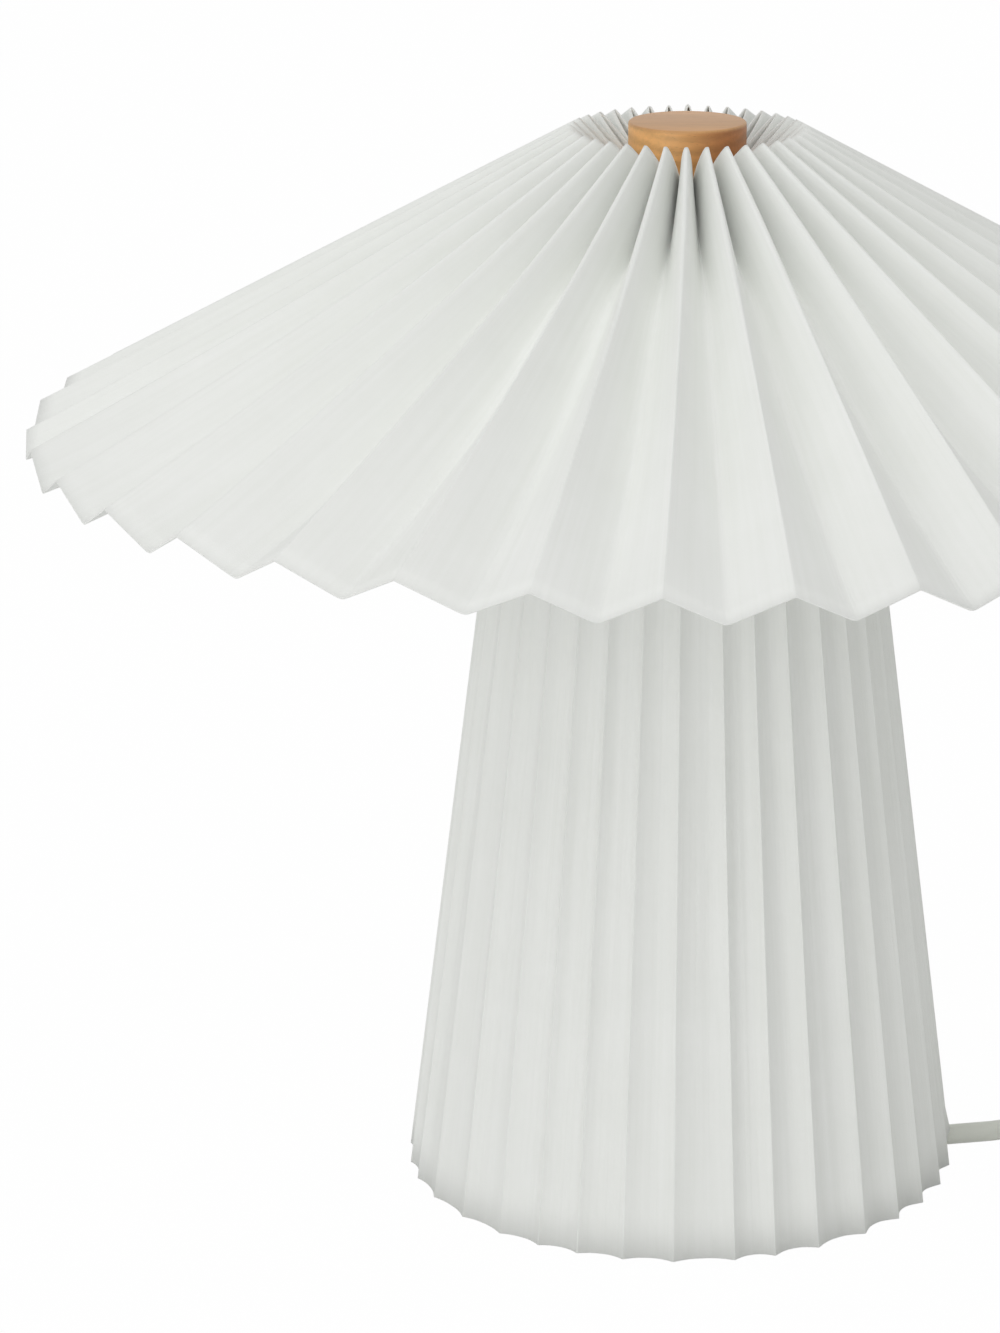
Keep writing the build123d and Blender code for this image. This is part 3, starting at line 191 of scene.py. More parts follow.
# %% [markdown]
# ## Reliefs, plug and tie
# Where the cord enters the switch and the plug, a soft tapered sleeve with ribs keeps it from
# kinking. Its ribs could be modelled as rings, but a curve with a radius at each point makes
# taper and ribs at once and follows the cord's own line. The plug is a flat moulded body: its
# outline is drawn, pulled up and rounded, and its grip hollows are pressed in with stretched
# spheres. A strip of hook-and-loop tape holds the coil together, its end lapped over itself. It
# is a flat grid laid along the strap's line, which keeps its faces even round the bends.

# %% Ribbed reliefs
RIB_PITCH, RIB_DEPTH = 2.8 * MM, 0.45 * MM
RIB_SHARE = 0.6  # of the pitch, and the rest is groove
RIBBED_SHARE = 0.85  # of the sleeve, and its thin end is smooth
SLEEVE_END = 4.5 * MM  # radius of the thin end
SLEEVE_LENGTH = 23  # millimetres
SWITCH_FRONT, SWITCH_REAR, SWITCH_SIDE = 93, 151, 150  # millimetres: the case's ends, and its side
PLUG_X, PLUG_BACK, PLUG_MIDDLE = 201, -168, 6.85  # millimetres


def route_points(wanted, steps=48):
    """Points of the cord's spline, in metres, that the test accepts."""
    found = []
    for before, here, after in zip(route, route[1:], route[2:]):
        start_point = (Vector(before) + Vector(here)) / 2
        end_point = (Vector(here) + Vector(after)) / 2
        for step in range(steps):
            share = step / steps
            towards = start_point.lerp(Vector(here), share)
            point = towards.lerp(Vector(here).lerp(end_point, share), share)
            if wanted(point):
                found.append(point * MM)
    return found


def relief(name, line, thick):
    """A ribbed sleeve along a line of points, from its thick end to its thin one."""
    length = sum((b - a).length for a, b in zip(line, line[1:]))
    gone, radii = 0, []
    for index, point in enumerate(line):
        gone += (point - line[index - 1]).length if index else 0
        in_groove = gone % RIB_PITCH > RIB_SHARE * RIB_PITCH and gone < RIBBED_SHARE * length
        groove = RIB_DEPTH if in_groove else 0
        radii.append(thick + (SLEEVE_END - thick) * gone / length - groove)
    sleeve = tube(name, "POLY", line, radii, roundness=8)
    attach(sleeve, "base")
    return sleeve


front_line = route_points(
    lambda p: p.x < SWITCH_SIDE and SWITCH_FRONT - SLEEVE_LENGTH < p.y < SWITCH_FRONT
)
switch_relief_front = relief("switch_relief_front", front_line[::-1], 6.2 * MM)
rear_line = route_points(
    lambda p: p.x < SWITCH_SIDE and SWITCH_REAR < p.y < SWITCH_REAR + SLEEVE_LENGTH
)
switch_relief_rear = relief("switch_relief_rear", rear_line, 6.2 * MM)
# The plug's sleeve runs straight for 25 millimetres, and then a little way along the cord.
plug_line = [Vector((PLUG_X, PLUG_BACK + step / 2, PLUG_MIDDLE)) * MM for step in range(51)]
plug_line += route_points(lambda p: p.x > 195 and -142.8 < p.y < -140)[::-1]
plug_relief = relief("plug_relief", plug_line, 6.3 * MM)
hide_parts("plug_body")
print("reliefs", len(front_line), len(rear_line), len(plug_line), "rings")


# %% Helpers for edited pieces
def deselect():
    """Deselects everything, because an operator acts on all that is selected."""
    bpy.ops.object.select_all(action="DESELECT")


def round_edges(piece, width, segments, angle):
    """Bevels the edges at which a piece turns by more than an angle in degrees."""
    corners = piece.modifiers.new("corners", "BEVEL")
    corners.width = width
    corners.segments = segments
    corners.limit_method = "ANGLE"
    corners.angle_limit = radians(angle)
    bpy.ops.object.modifier_apply(modifier=corners.name)


def thicken(sheet, thickness, offset=-1):
    """Gives a sheet its thickness, on the side that its faces turn their backs to."""
    bpy.context.view_layer.objects.active = sheet
    solid = sheet.modifiers.new("thickness", "SOLIDIFY")
    solid.thickness = thickness
    solid.offset = offset
    solid.use_rim = True
    bpy.ops.object.modifier_apply(modifier=solid.name)


print("selecting, rounding and thickening are ready")

# %% Draw the plug's outline and pull it up
PLUG_HEIGHT = 13.7 * MM
# Corners in millimetres from the middle of the plug's back, which the cord enters.
PLUG_OUTLINE = [(-6.4, 0), (-17.5, -11.3), (-13, -34), (13, -34), (17.5, -11.3), (6.4, 0)]
deselect()
bpy.ops.mesh.primitive_circle_add(vertices=len(PLUG_OUTLINE), radius=1, fill_type="NGON")
plug_shell = bpy.context.active_object
plug_shell.name = "plug_shell"
for vertex, (x, y) in zip(plug_shell.data.vertices, PLUG_OUTLINE):
    vertex.co = (PLUG_X * MM + x * MM, PLUG_BACK * MM + y * MM, 0)
bpy.ops.object.mode_set(mode="EDIT")
bpy.ops.mesh.select_all(action="SELECT")
bpy.ops.mesh.extrude_region_move(TRANSFORM_OT_translate={"value": (0, 0, PLUG_HEIGHT)})
bpy.ops.mesh.select_all(action="SELECT")
bpy.ops.mesh.normals_make_consistent(inside=False)
bpy.ops.object.mode_set(mode="OBJECT")
round_edges(plug_shell, 2 * MM, segments=5, angle=20)
print("plug body", len(plug_shell.data.polygons), "faces")

# %% Press in the grip hollows
GRIP_SIZE = (8.5 * MM, 11 * MM, 4 * MM)  # half the stretched sphere's width, length and height
GRIP_BACK = 17  # millimetres from the plug's back to the hollow's middle
GRIP_AWAY = 2.6 * MM  # from the plug's flat side out to the sphere's middle
for side in (-1, 1):
    deselect()
    bpy.ops.mesh.primitive_uv_sphere_add(
        segments=64,
        ring_count=32,
        radius=1,
        location=(
            PLUG_X * MM,
            (PLUG_BACK - GRIP_BACK) * MM,
            PLUG_HEIGHT / 2 + side * (PLUG_HEIGHT / 2 + GRIP_AWAY),
        ),
    )
    hollow = bpy.context.active_object
    hollow.scale = GRIP_SIZE
    bpy.ops.object.transform_apply(location=False, rotation=False, scale=True)
    cut = plug_shell.modifiers.new("grip", "BOOLEAN")
    cut.operation = "DIFFERENCE"
    cut.object = hollow
    bpy.context.view_layer.objects.active = plug_shell
    bpy.ops.object.modifier_apply(modifier=cut.name)
    bpy.data.objects.remove(hollow)
deselect()
plug_shell.select_set(True)
bpy.context.view_layer.objects.active = plug_shell
bpy.ops.object.shade_smooth_by_angle(angle=radians(30))
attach(plug_shell, "base")
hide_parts("plug_body")
print("plug", len(plug_shell.data.polygons), "faces")

# %% Strap the coil
TIE_WIDTH, TIE_THICKNESS = 10 * MM, 1.1 * MM
TIE_LEFT, TIE_RIGHT, TIE_LOW, TIE_HIGH = 121.7, 145.9, 1.2, 16.5  # millimetres
TIE_BEND = 4.5
TIE_START, TIE_LAP, TIE_TIP = 6, 5, 18  # from the strap's left side, along its top
LAP_GAP, LAP_CLIMB, TIP_CURL = 0.2, 1.1, 0.12


def strap_line():
    """The strap's line in the upright plane, in millimetres: once round and lapped on top."""
    corners = [
        (TIE_RIGHT - TIE_BEND, TIE_HIGH - TIE_BEND, 90),
        (TIE_RIGHT - TIE_BEND, TIE_LOW + TIE_BEND, 0),
        (TIE_LEFT + TIE_BEND, TIE_LOW + TIE_BEND, -90),
        (TIE_LEFT + TIE_BEND, TIE_HIGH - TIE_BEND, -180),
    ]
    line = [(TIE_LEFT + TIE_START + step, TIE_HIGH) for step in range(12)]
    for x, z, first in corners:
        for step in range(9):
            angle = radians(first - 90 * step / 8)
            line.append((x + TIE_BEND * cos(angle), z + TIE_BEND * sin(angle)))
    for step in range(13):
        climb = LAP_CLIMB * min(1, step / 3)
        line.append((TIE_LEFT + TIE_LAP + step, TIE_HIGH + LAP_GAP + climb))
    for step in range(5):
        curl = TIP_CURL * step**2
        line.append((TIE_LEFT + TIE_TIP + step, TIE_HIGH + LAP_GAP + LAP_CLIMB + curl))
    return line


line = strap_line()
deselect()
bpy.ops.mesh.primitive_grid_add(x_subdivisions=len(line) - 1, y_subdivisions=4, size=2)
coil_strap = bpy.context.active_object
coil_strap.name = "coil_strap"
for vertex in coil_strap.data.vertices:
    x, z = line[round((vertex.co.x + 1) / 2 * (len(line) - 1))]
    vertex.co = (x * MM, COIL_Y * MM + vertex.co.y * TIE_WIDTH / 2, z * MM)
thicken(coil_strap, TIE_THICKNESS, offset=0)
bpy.ops.object.shade_smooth_by_angle(angle=radians(40))
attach(coil_strap, "base")
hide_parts("coil_tie")
print("strap", len(coil_strap.data.polygons), "faces")


# %% [markdown]
# ## Folding paper
# A pleated sheet could be folded by a cloth simulation, but its creases are known exactly: it is
# a zigzag, so a grid of faces can be bent into it. The grid's columns run along the creases and
# its rows along the edges of the sheet. The width of the paper between two creases never changes.
# Where the creases come close together, the folds are therefore deep, and where they spread, they
# are shallow. A real fold is a tight curve and not a line: the ridges are crisp, the valleys are
# softer, and where the sheet is gathered tightly the paper between them bulges, so that each fold
# ends in a round finger.

# %% Pleat helpers
PLEATS = 36
STEP = 360 / PLEATS
FRONT_RIDGE = -0.5  # degrees from the front to the ridge that is nearest to it
PAPER = 0.5 * MM
# Places of the columns between a ridge, at 0, and a valley, at 1.
ACROSS = (0, 0.006, 0.02, 0.05, 0.1, 0.18, 0.3, 0.45, 0.6, 0.74, 0.86, 0.95, 1)


def around(radius, height, angle):
    """A point at a height, at an angle in degrees from the front towards the right."""
    turn = radians(angle)
    return Vector((radius * sin(turn), -radius * cos(turn), height))


def pleat_of(index):
    """A crease's pleat, counted both ways from the front, and 1 if the crease is a valley."""
    pleat, valley = divmod(index, 2)
    return pleat - PLEATS if pleat > PLEATS / 2 else pleat, valley


def pleat_depth(radius, facet):
    """How far a valley lies behind its ridges, where a facet's width is to fit half a pleat."""
    half_pitch = 2 * radius * sin(radians(STEP / 4))
    return sqrt(facet**2 - half_pitch**2)


def scatter(index, seed):
    """A steady pseudo-random number from -1 to 1 for a crease or a facet."""
    return noise.cell(Vector((index * 1.37 + 0.5, seed * 3.1 + 0.5, 0.5))) * 2 - 1


print(PLEATS, "pleats of", STEP, "degrees,", len(ACROSS), "columns to a facet")


# %% Round the folds
def facet_point(ridge, valley, share, fat, crisp, soft, bow):
    """A point between a ridge and a valley.

    crisp and soft are the shares of the facet over which the paper rounds off at the ridge and
    at the valley, which lowers the one and lifts the other. fat is how much the fold bulges
    sideways near its ridge, and bow how far the facet's middle stands out, in metres.
    """
    out = Vector((ridge.x + valley.x, ridge.y + valley.y, 0)).normalized()
    across = Vector((-out.y, out.x, 0))
    side = across * (valley - ridge).dot(across)
    down = valley - ridge - side
    depth = share
    if share < crisp:
        depth += crisp / 2 * (1 - share / crisp) ** 2
    if 1 - share < soft:
        depth -= soft / 2 * (1 - (1 - share) / soft) ** 2
    swing = (1 - fat) * share + fat * sqrt(sin(pi / 2 * share))
    return ridge + down * depth + side * swing + out * bow * sin(pi * share)


def fold_row(creases, fat, crisp, soft, bow):
    """One row of the sheet, from crease to crease all the way round."""
    row = []
    for index, crease in enumerate(creases):
        following = creases[(index + 1) % len(creases)]
        ridge, valley = (following, crease) if index % 2 else (crease, following)
        for share in ACROSS[:0:-1] if index % 2 else ACROSS[:-1]:
            row.append(facet_point(ridge, valley, share, fat, crisp, soft(index), bow(index)))
    return row


print("points round a sheet:", 2 * PLEATS * (len(ACROSS) - 1))


# %% Bend a grid into pleats
def pleated_sheet(name, rows, closed=True):
    """Builds a ring, or an open strip, from its rows of points, from the top edge downwards."""
    columns = len(rows[0]) if closed else len(rows[0]) - 1
    deselect()
    bpy.ops.mesh.primitive_grid_add(x_subdivisions=columns, y_subdivisions=len(rows) - 1, size=2)
    sheet = bpy.context.active_object
    sheet.name = name
    for vertex in sheet.data.vertices:
        column = round((vertex.co.x + 1) / 2 * columns)
        row = round((vertex.co.y + 1) / 2 * (len(rows) - 1))
        vertex.co = rows[row][column % len(rows[0])]
    if closed:
        bpy.ops.object.mode_set(mode="EDIT")
        bpy.ops.mesh.select_all(action="SELECT")
        bpy.ops.mesh.remove_doubles(threshold=0.01 * MM)
        bpy.ops.mesh.normals_make_consistent(inside=False)
        bpy.ops.object.mode_set(mode="OBJECT")
    bpy.ops.object.shade_smooth()
    return sheet


LAP_THICKNESS = 0.8 * PAPER  # pressed thinner by the glue


def seam_lap(name, rows, body):
    """The sheet's end, glued over its beginning: one facet at the back, from ridge to valley."""
    width = len(ACROSS) - 1
    first = PLEATS * width
    lap = pleated_sheet(name, [row[first : first + width + 1] for row in rows], closed=False)
    thicken(lap, LAP_THICKNESS)
    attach(lap, body)
    return lap


print("paper", round(PAPER / MM, 1), "mm thick, laps", round(LAP_THICKNESS / MM, 1), "mm")


# %% [markdown]
# ## The shade
# The ridges of the cone run straight from the small top opening to the rim. The valleys start a
# little further in and end a little lower, which gives the rim its saw teeth. Hand-folded paper
# isn't even: the pleats lean a little and crowd together on the left, so the creases near the
# front are listed one by one and the rest wander by a fraction of a degree.

# %% The shade's creases
SHADE_RADIUS = 225 * MM
SHADE_TOP_RADIUS = 40 * MM
SHADE_TOP = 374.3 * MM
SHADE_DROP = 100.8 * MM
SHADE_FACET = 21.1 * MM
SHADE_LEAD = 6.9 * MM  # how far in from the ridges the valleys start
RIDGE_RIM, VALLEY_RIM = SHADE_RADIUS - 0.5 * MM, 228.3 * MM
SHADE_SLOPE = atan2(SHADE_DROP, SHADE_RADIUS - SHADE_TOP_RADIUS)
SHADE_ROWS = [0, 0.008, 0.02, 0.04] + [0.04 + 0.96 * step / 28 for step in range(1, 29)]
# How far each crease near the front has moved at the rim, in degrees, by its pleat.
RIDGE_LEAN = dict(zip(range(-7, 3), (-3.6, -3.0, -2.8, -2.5, -1.7, -0.8, 0.2, 0.4, 0.5, 0.3)))
VALLEY_LEAN = dict(
    zip(
        range(-10, 3),
        (-3.0, -3.6, -3.8, -2.2, -1.5, -1.0, -0.6, -0.3, 0.1, 0.4, 0.2, 0.1, -0.4),
    )
)
SHADE_WANDER = 0.7  # degrees, for the other creases
RIM_TWIST = 1.5  # degrees that the whole rim is turned to the left


def shade_crease(index, share):
    """A point on a crease of the shade. Even creases are ridges, odd ones valleys."""
    pleat, valley = pleat_of(index)
    leans = VALLEY_LEAN if valley else RIDGE_LEAN
    lean = leans.get(pleat, SHADE_WANDER * scatter(index, 1))
    angle = FRONT_RIDGE + STEP * (pleat + valley / 2) + (lean - RIM_TWIST) * share
    first, last = SHADE_TOP_RADIUS, RIDGE_RIM
    if valley:
        first, last = SHADE_TOP_RADIUS - SHADE_LEAD, VALLEY_RIM
    radius = first + (last - first) * share
    height = SHADE_TOP - (radius - SHADE_TOP_RADIUS) * tan(SHADE_SLOPE)
    if valley:
        depth = pleat_depth(radius, SHADE_FACET)
        radius, height = radius - depth * sin(SHADE_SLOPE), height - depth * cos(SHADE_SLOPE)
    return around(radius, height, angle)


print("slope", round(SHADE_SLOPE * 180 / pi, 1), "degrees,", len(SHADE_ROWS), "rows")

# %% Fold the shade
GATHERED = 0.7  # share of the slope down to which the folds are gathered
HELD, LET_GO = 0.11, 0.26  # shares of the slope: held tight by the hub, and easing from there
VALLEY_LIFT = 1.3  # how soft the valleys are where the paper is gathered and free


def shade_row(share):
    """A row across the folds. The valleys are tight at the hub's rim and softer just below it."""
    creases = [shade_crease(index, share) for index in range(2 * PLEATS)]
    near_top = max(0, 1 - share / GATHERED) ** 2
    free = min(1, max(0, (share - HELD) / LET_GO))
    free *= free * (3 - 2 * free)
    return fold_row(
        creases,
        fat=0.95 * near_top,
        crisp=0.03 + 0.03 * near_top,
        soft=lambda index: 0.01 + 0.07 * free + VALLEY_LIFT * free * near_top**0.7,
        bow=lambda index: (0.25 + 0.5 * scatter(index, 2)) * MM * sin(pi * share) ** 0.5,
    )


shade_rows = [shade_row(share) for share in SHADE_ROWS]
shade_pleats = pleated_sheet("shade_pleats", shade_rows)
thicken(shade_pleats, PAPER)
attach(shade_pleats, "shade")
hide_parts("shade_paper")
shade_lap = seam_lap("shade_lap", shade_rows, "shade")
print("shade", len(shade_pleats.data.polygons), "faces")


# %% [markdown]
# ## The trunk
# The trunk is the same kind of sheet, folded into a tall, narrow cone that stands on its hem.
# Its ridges are crisp and its valleys soft, most of all on the left, where the hem is almost a
# smooth curve. On the right the folds are tighter, with broad stripes of light and shade. The
# cord leaves through a small arch in the hem, which is made by lifting the hem's own points, so
# that no hole has to be cut into the folds.

# %% The trunk's creases
TRUNK_RADIUS = 97.9 * MM
TRUNK_TOP_RADIUS = 61.7 * MM
TRUNK_TOP = 284 * MM
TRUNK_FACET = 10.1 * MM
HEM = 0.3 * MM
TRUNK_BANDS = 18
# How far the ridges near the front stand off their even places at the hem, in degrees.
TRUNK_LEAN = dict(
    zip(
        range(-4, 10),
        (0.9, 0.6, -0.6, -1.0, -0.8, 1.6, 0.1, -0.2, 1.7, 2.0, 1.7, 1.9, 2.2, 1.5),
    )
)
TOP_LEAN = 0.6  # share of that which is left at the trunk's top


def trunk_crease(index, share):
    """A point on a crease of the trunk. A valley stands midway between its two ridges."""
    pleat, valley = pleat_of(index)
    lean = TRUNK_LEAN.get(pleat, scatter(index, 4))
    if valley:
        lean = (lean + TRUNK_LEAN.get(pleat + 1, scatter(index + 1, 4))) / 2
    lean *= TOP_LEAN + (1 - TOP_LEAN) * share
    height = TRUNK_TOP + (HEM - TRUNK_TOP) * share
    radius = TRUNK_RADIUS - (TRUNK_RADIUS - TRUNK_TOP_RADIUS) * height / TRUNK_TOP
    if valley:
        radius -= pleat_depth(radius, TRUNK_FACET)
    return around(radius, height, FRONT_RIDGE + STEP * (pleat + valley / 2) + lean)


print("trunk", round((TRUNK_TOP - HEM) / MM, 1), "mm high, in", TRUNK_BANDS, "bands")

# %% Fold the trunk
VALLEY_SOFT, SIDE_SOFT = 0.95, 0.42  # on average, and how much more on the left than in front
CORD_HEADING = radians(12.2)
ARCH_RADIUS = 5.3 * MM


def trunk_row(share):
    """A row across the folds, whose valleys are softest on the lamp's left."""
    creases = [trunk_crease(index, share) for index in range(2 * PLEATS)]
    return fold_row(
        creases,
        fat=0,
        crisp=0.04,
        soft=lambda index: VALLEY_SOFT - SIDE_SOFT * sin(radians(STEP / 2 * index)),
        bow=lambda index: 0.25 * scatter(index, 5) * MM * sin(pi * share) ** 0.5,
    )


def arched(point):
    """Lifts a point of the hem over the cord, if it stands in the cord's way."""
    offset = point - Vector(LEAD_TO_SWITCH[0]) * MM
    aside = offset.y * cos(CORD_HEADING) - offset.x * sin(CORD_HEADING)
    if point.x > 0 and abs(aside) < ARCH_RADIUS:
        point.z = CORD / 2 + sqrt(ARCH_RADIUS**2 - aside**2)
    return point


trunk_rows = [trunk_row(step / TRUNK_BANDS) for step in range(TRUNK_BANDS + 1)]
trunk_rows[-1] = [arched(point) for point in trunk_rows[-1]]
trunk_pleats = pleated_sheet("trunk_pleats", trunk_rows)
thicken(trunk_pleats, PAPER)
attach(trunk_pleats, "base")
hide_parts("trunk_paper")
trunk_lap = seam_lap("trunk_lap", trunk_rows, "base")
print("trunk", len(trunk_pleats.data.polygons), "faces")


# %% [markdown]
# ## The wooden cap
# The cap is a small turned disc of pale wood. Its rim was eased with sandpaper, so its edges are
# rounded over about a millimetre. It could be spun from a profile, but a cylinder is quicker and
# just as true: its bottom is inset and pushed in twice, for the washer and for the brass insert.

# %% Turn the cap
CAP_RADIUS = 20 * MM
CAP_BOTTOM, CAP_TOP = 353.5 * MM, 375.5 * MM
RECESS_RADIUS, RECESS_TOP = 9.4 * MM, 355.2 * MM  # for the washer
BORE_RADIUS, BORE_TOP = 5.6 * MM, 368 * MM  # for the insert


def select_faces(piece, wanted):
    """Selects, in edit mode, the faces that the test accepts."""
    mesh = bmesh.from_edit_mesh(piece.data)
    for face in mesh.faces:
        face.select_set(wanted(face))
    mesh.select_flush_mode()
    bmesh.update_edit_mesh(piece.data)


deselect()
bpy.ops.mesh.primitive_cylinder_add(
    vertices=128,
    radius=CAP_RADIUS,
    depth=CAP_TOP - CAP_BOTTOM,
    location=(0, 0, (CAP_TOP + CAP_BOTTOM) / 2),
)
turned_cap = bpy.context.active_object
turned_cap.name = "turned_cap"
bpy.ops.object.transform_apply(location=True, rotation=True, scale=True)
bpy.ops.object.mode_set(mode="EDIT")
select_faces(turned_cap, lambda face: face.normal.z < -0.9)
for inset, rise in (
    (CAP_RADIUS - RECESS_RADIUS, RECESS_TOP - CAP_BOTTOM),
    (RECESS_RADIUS - BORE_RADIUS, BORE_TOP - RECESS_TOP),
):
    bpy.ops.mesh.inset(thickness=inset)
    bpy.ops.mesh.extrude_region_move(TRANSFORM_OT_translate={"value": (0, 0, rise)})
bpy.ops.object.mode_set(mode="OBJECT")
round_edges(turned_cap, 1.1 * MM, segments=4, angle=50)
bpy.ops.object.shade_smooth_by_angle(angle=radians(35))
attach(turned_cap, "knob")
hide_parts("wood_cap")
print("cap", len(turned_cap.data.polygons), "faces")


# %% [markdown]
# ## Materials
# Every finish is worked out in nodes, from the colour and the surface of the real material. Two
# small functions do most of it: one turns the colours from the way they are written to the way
# light adds up, and one adds a node with its settings and its links. Patterns are sized in
# millimetres: a noise texture's scale is one divided by the size of its patches.

# %% Colour and node helpers
def linear(code):
    """A colour written as sRGB hex, as the linear values that shaders use."""
    values = [int(code[i : i + 2], 16) / 255 for i in (1, 3, 5)]
    return [v / 12.92 if v <= 0.04045 else ((v + 0.055) / 1.055) ** 2.4 for v in values] + [1]


def add(tree, kind, settings=None, inputs=None):
    """Adds a node. An input is a value, or the output socket of another node to link."""
    new = tree.nodes.new(kind)
    for name, value in (settings or {}).items():
        setattr(new, name, value)
    for name, value in (inputs or {}).items():
        if isinstance(value, bpy.types.NodeSocket):
            tree.links.new(value, new.inputs[name])
        else:
            new.inputs[name].default_value = value
    return new


def start(name, **values):
    """A new material with its shader; values go straight onto the shader's sockets."""
    material = bpy.data.materials.new(name)
    material.use_nodes = True
    shader = material.node_tree.nodes["Principled BSDF"]
    for key, value in values.items():
        shader.inputs[key.replace("_", " ")].default_value = value
    print("material", name)
    return material, material.node_tree, shader


def dress(material, *pieces):
    """Gives pieces their material. A CAD piece is given by its name."""
    for piece in pieces:
        mesh = nodes[piece].data if isinstance(piece, str) else piece.data
        mesh.materials.clear()
        mesh.materials.append(material)


# %% [markdown]
# ### Paper
# Lampshade paper is a matt, slightly cloudy white sheet with a hint of grey-green. Its surface
# scatters light so well that even a deep fold stays bright. Light passing through the sheet would
# be truer to some papers, but it darkened the folds here, so the sheet is opaque. Fibres give it
# a fine tooth, about a third of a millimetre across. Pressing the folds draws faint streaks, a
# millimetre or two apart, along the creases, so they follow the sheet and are laid out on its UV
# map, which is the flat sheet before folding.

# %% Lampshade paper
CLOUD = 22.22 * MM
TOOTH, TOOTH_DEPTH = 0.3846 * MM, 0.05 * MM
STREAK_WIDTH, STREAK_LENGTH, STREAK_DEPTH = 1.6667 * MM, 111.1 * MM, 0.12 * MM


def pleated_paper(name, width, height):
    """Paper for a sheet whose flat size is width by height, in metres."""
    paper, tree, shader = start(name, Roughness=0.85, IOR=1.45)
    places = add(tree, "ShaderNodeTexCoord").outputs
    clouds = add(
        tree,
        "ShaderNodeTexNoise",
        None,
        {"Vector": places["Object"], "Scale": 1 / CLOUD, "Detail": 3},
    )
    streaks_across = (width / STREAK_WIDTH, height / STREAK_LENGTH, 1)
    flat = add(
        tree, "ShaderNodeMapping", None, {"Vector": places["UV"], "Scale": streaks_across}
    )
    streaks = add(
        tree,
        "ShaderNodeTexNoise",
        None,
        {"Vector": flat.outputs[0], "Scale": 1, "Detail": 2, "Roughness": 0.7},
    )
    both = add(
        tree,
        "ShaderNodeMix",
        {"data_type": "FLOAT"},
        {0: 0.6, 2: clouds.outputs[0], 3: streaks.outputs[0]},
    )
    tone = add(
        tree,
        "ShaderNodeMix",
        {"data_type": "RGBA"},
        {"Factor": both.outputs[0], 6: linear("#EFF1EC"), 7: linear("#FCFDFB")},
    )
    tree.links.new(tone.outputs[2], shader.inputs["Base Color"])
    tooth = add(
        tree,
        "ShaderNodeTexNoise",
        None,
        {"Vector": places["Object"], "Scale": 1 / TOOTH, "Detail": 2},
    )
    bump = add(
        tree,
        "ShaderNodeBump",
        None,
        {"Height": tooth.outputs[0], "Distance": TOOTH_DEPTH, "Strength": 1.0},
    )
    for_streaks = {"Height": streaks.outputs[0], "Distance": STREAK_DEPTH, "Strength": 1.0}
    bump = add(tree, "ShaderNodeBump", None, for_streaks | {"Normal": bump.outputs[0]})
    tree.links.new(bump.outputs[0], shader.inputs["Normal"])
    return paper


for sheet, name, width, height in (
    (shade_pleats, "shade_paper", 1.519, 0.216),
    (trunk_pleats, "trunk_paper", 0.727, 0.286),
    (shade_lap, "shade_lap_paper", 0.021, 0.216),
    (trunk_lap, "trunk_lap_paper", 0.010, 0.286),
):
    dress(pleated_paper(name, width, height), sheet)

# %% [markdown]
# ### Wood
# The cap is oiled beech or a wood like it: a warm tan, sawn so that the growth rings run from
# left to right as bands a few millimetres wide, with fine straight grain and darker flecks in
# them. Its side is painted from a lit gold on the left to a shaded, redder brown on the right:
# painted light and painted shade, as the light falls from the left. The top is painted paler and
# more even than the side, a painted reflection of the white room in its oil. A picture of wood
# would need a seam on a turned piece, while these patterns fill the whole block, as in real wood.

# %% Grain, rings and flecks
GRAIN_LENGTH, FLECK_LENGTH = 16.667 * MM, 6.667 * MM  # from left to right
GRAIN_FINENESS = 14  # how many times narrower grain and flecks are than they are long
RING_PITCH = 4.189 * MM
RING_MIDDLE = 0.3  # metres above the floor: the tree's heart, well below the cap
RING_DRIFT = 0.25  # how quickly the rings change along the grain
WAVE = pi / 10  # a wave texture at scale 1 repeats after this many metres

wood, tree, shader = start(
    "oiled_beech", Roughness=0.5, IOR=1.5, Coat_Weight=0.15, Coat_Roughness=0.22
)
coords = add(tree, "ShaderNodeTexCoord").outputs["Object"]
finer = (1, GRAIN_FINENESS, GRAIN_FINENESS)
along = add(tree, "ShaderNodeMapping", None, {"Vector": coords, "Scale": finer}).outputs[0]
grain = add(
    tree,
    "ShaderNodeTexNoise",
    None,
    {
        "Vector": along,
        "Scale": 1 / GRAIN_LENGTH,
        "Detail": 6,
        "Roughness": 0.6,
        "Distortion": 0.4,
    },
)
growth = add(
    tree,
    "ShaderNodeMapping",
    None,
    {"Vector": coords, "Location": (0, 0, -RING_MIDDLE), "Scale": (RING_DRIFT, 1, 1)},
)
rings = add(
    tree,
    "ShaderNodeTexWave",
    {"wave_type": "RINGS", "rings_direction": "X"},
    {
        "Vector": growth.outputs[0],
        "Scale": WAVE / RING_PITCH,
        "Distortion": 1.5,
        "Detail": 2,
        "Detail Scale": 1.5,
    },
)
pattern = add(
    tree,
    "ShaderNodeMix",
    {"data_type": "FLOAT"},
    {0: 0.3, 2: grain.outputs[0], 3: rings.outputs[1]},
).outputs[0]
flecks = add(tree, "ShaderNodeTexVoronoi", None, {"Vector": along, "Scale": 1 / FLECK_LENGTH})
print("grain", round(GRAIN_LENGTH / GRAIN_FINENESS / MM, 1), "mm wide")
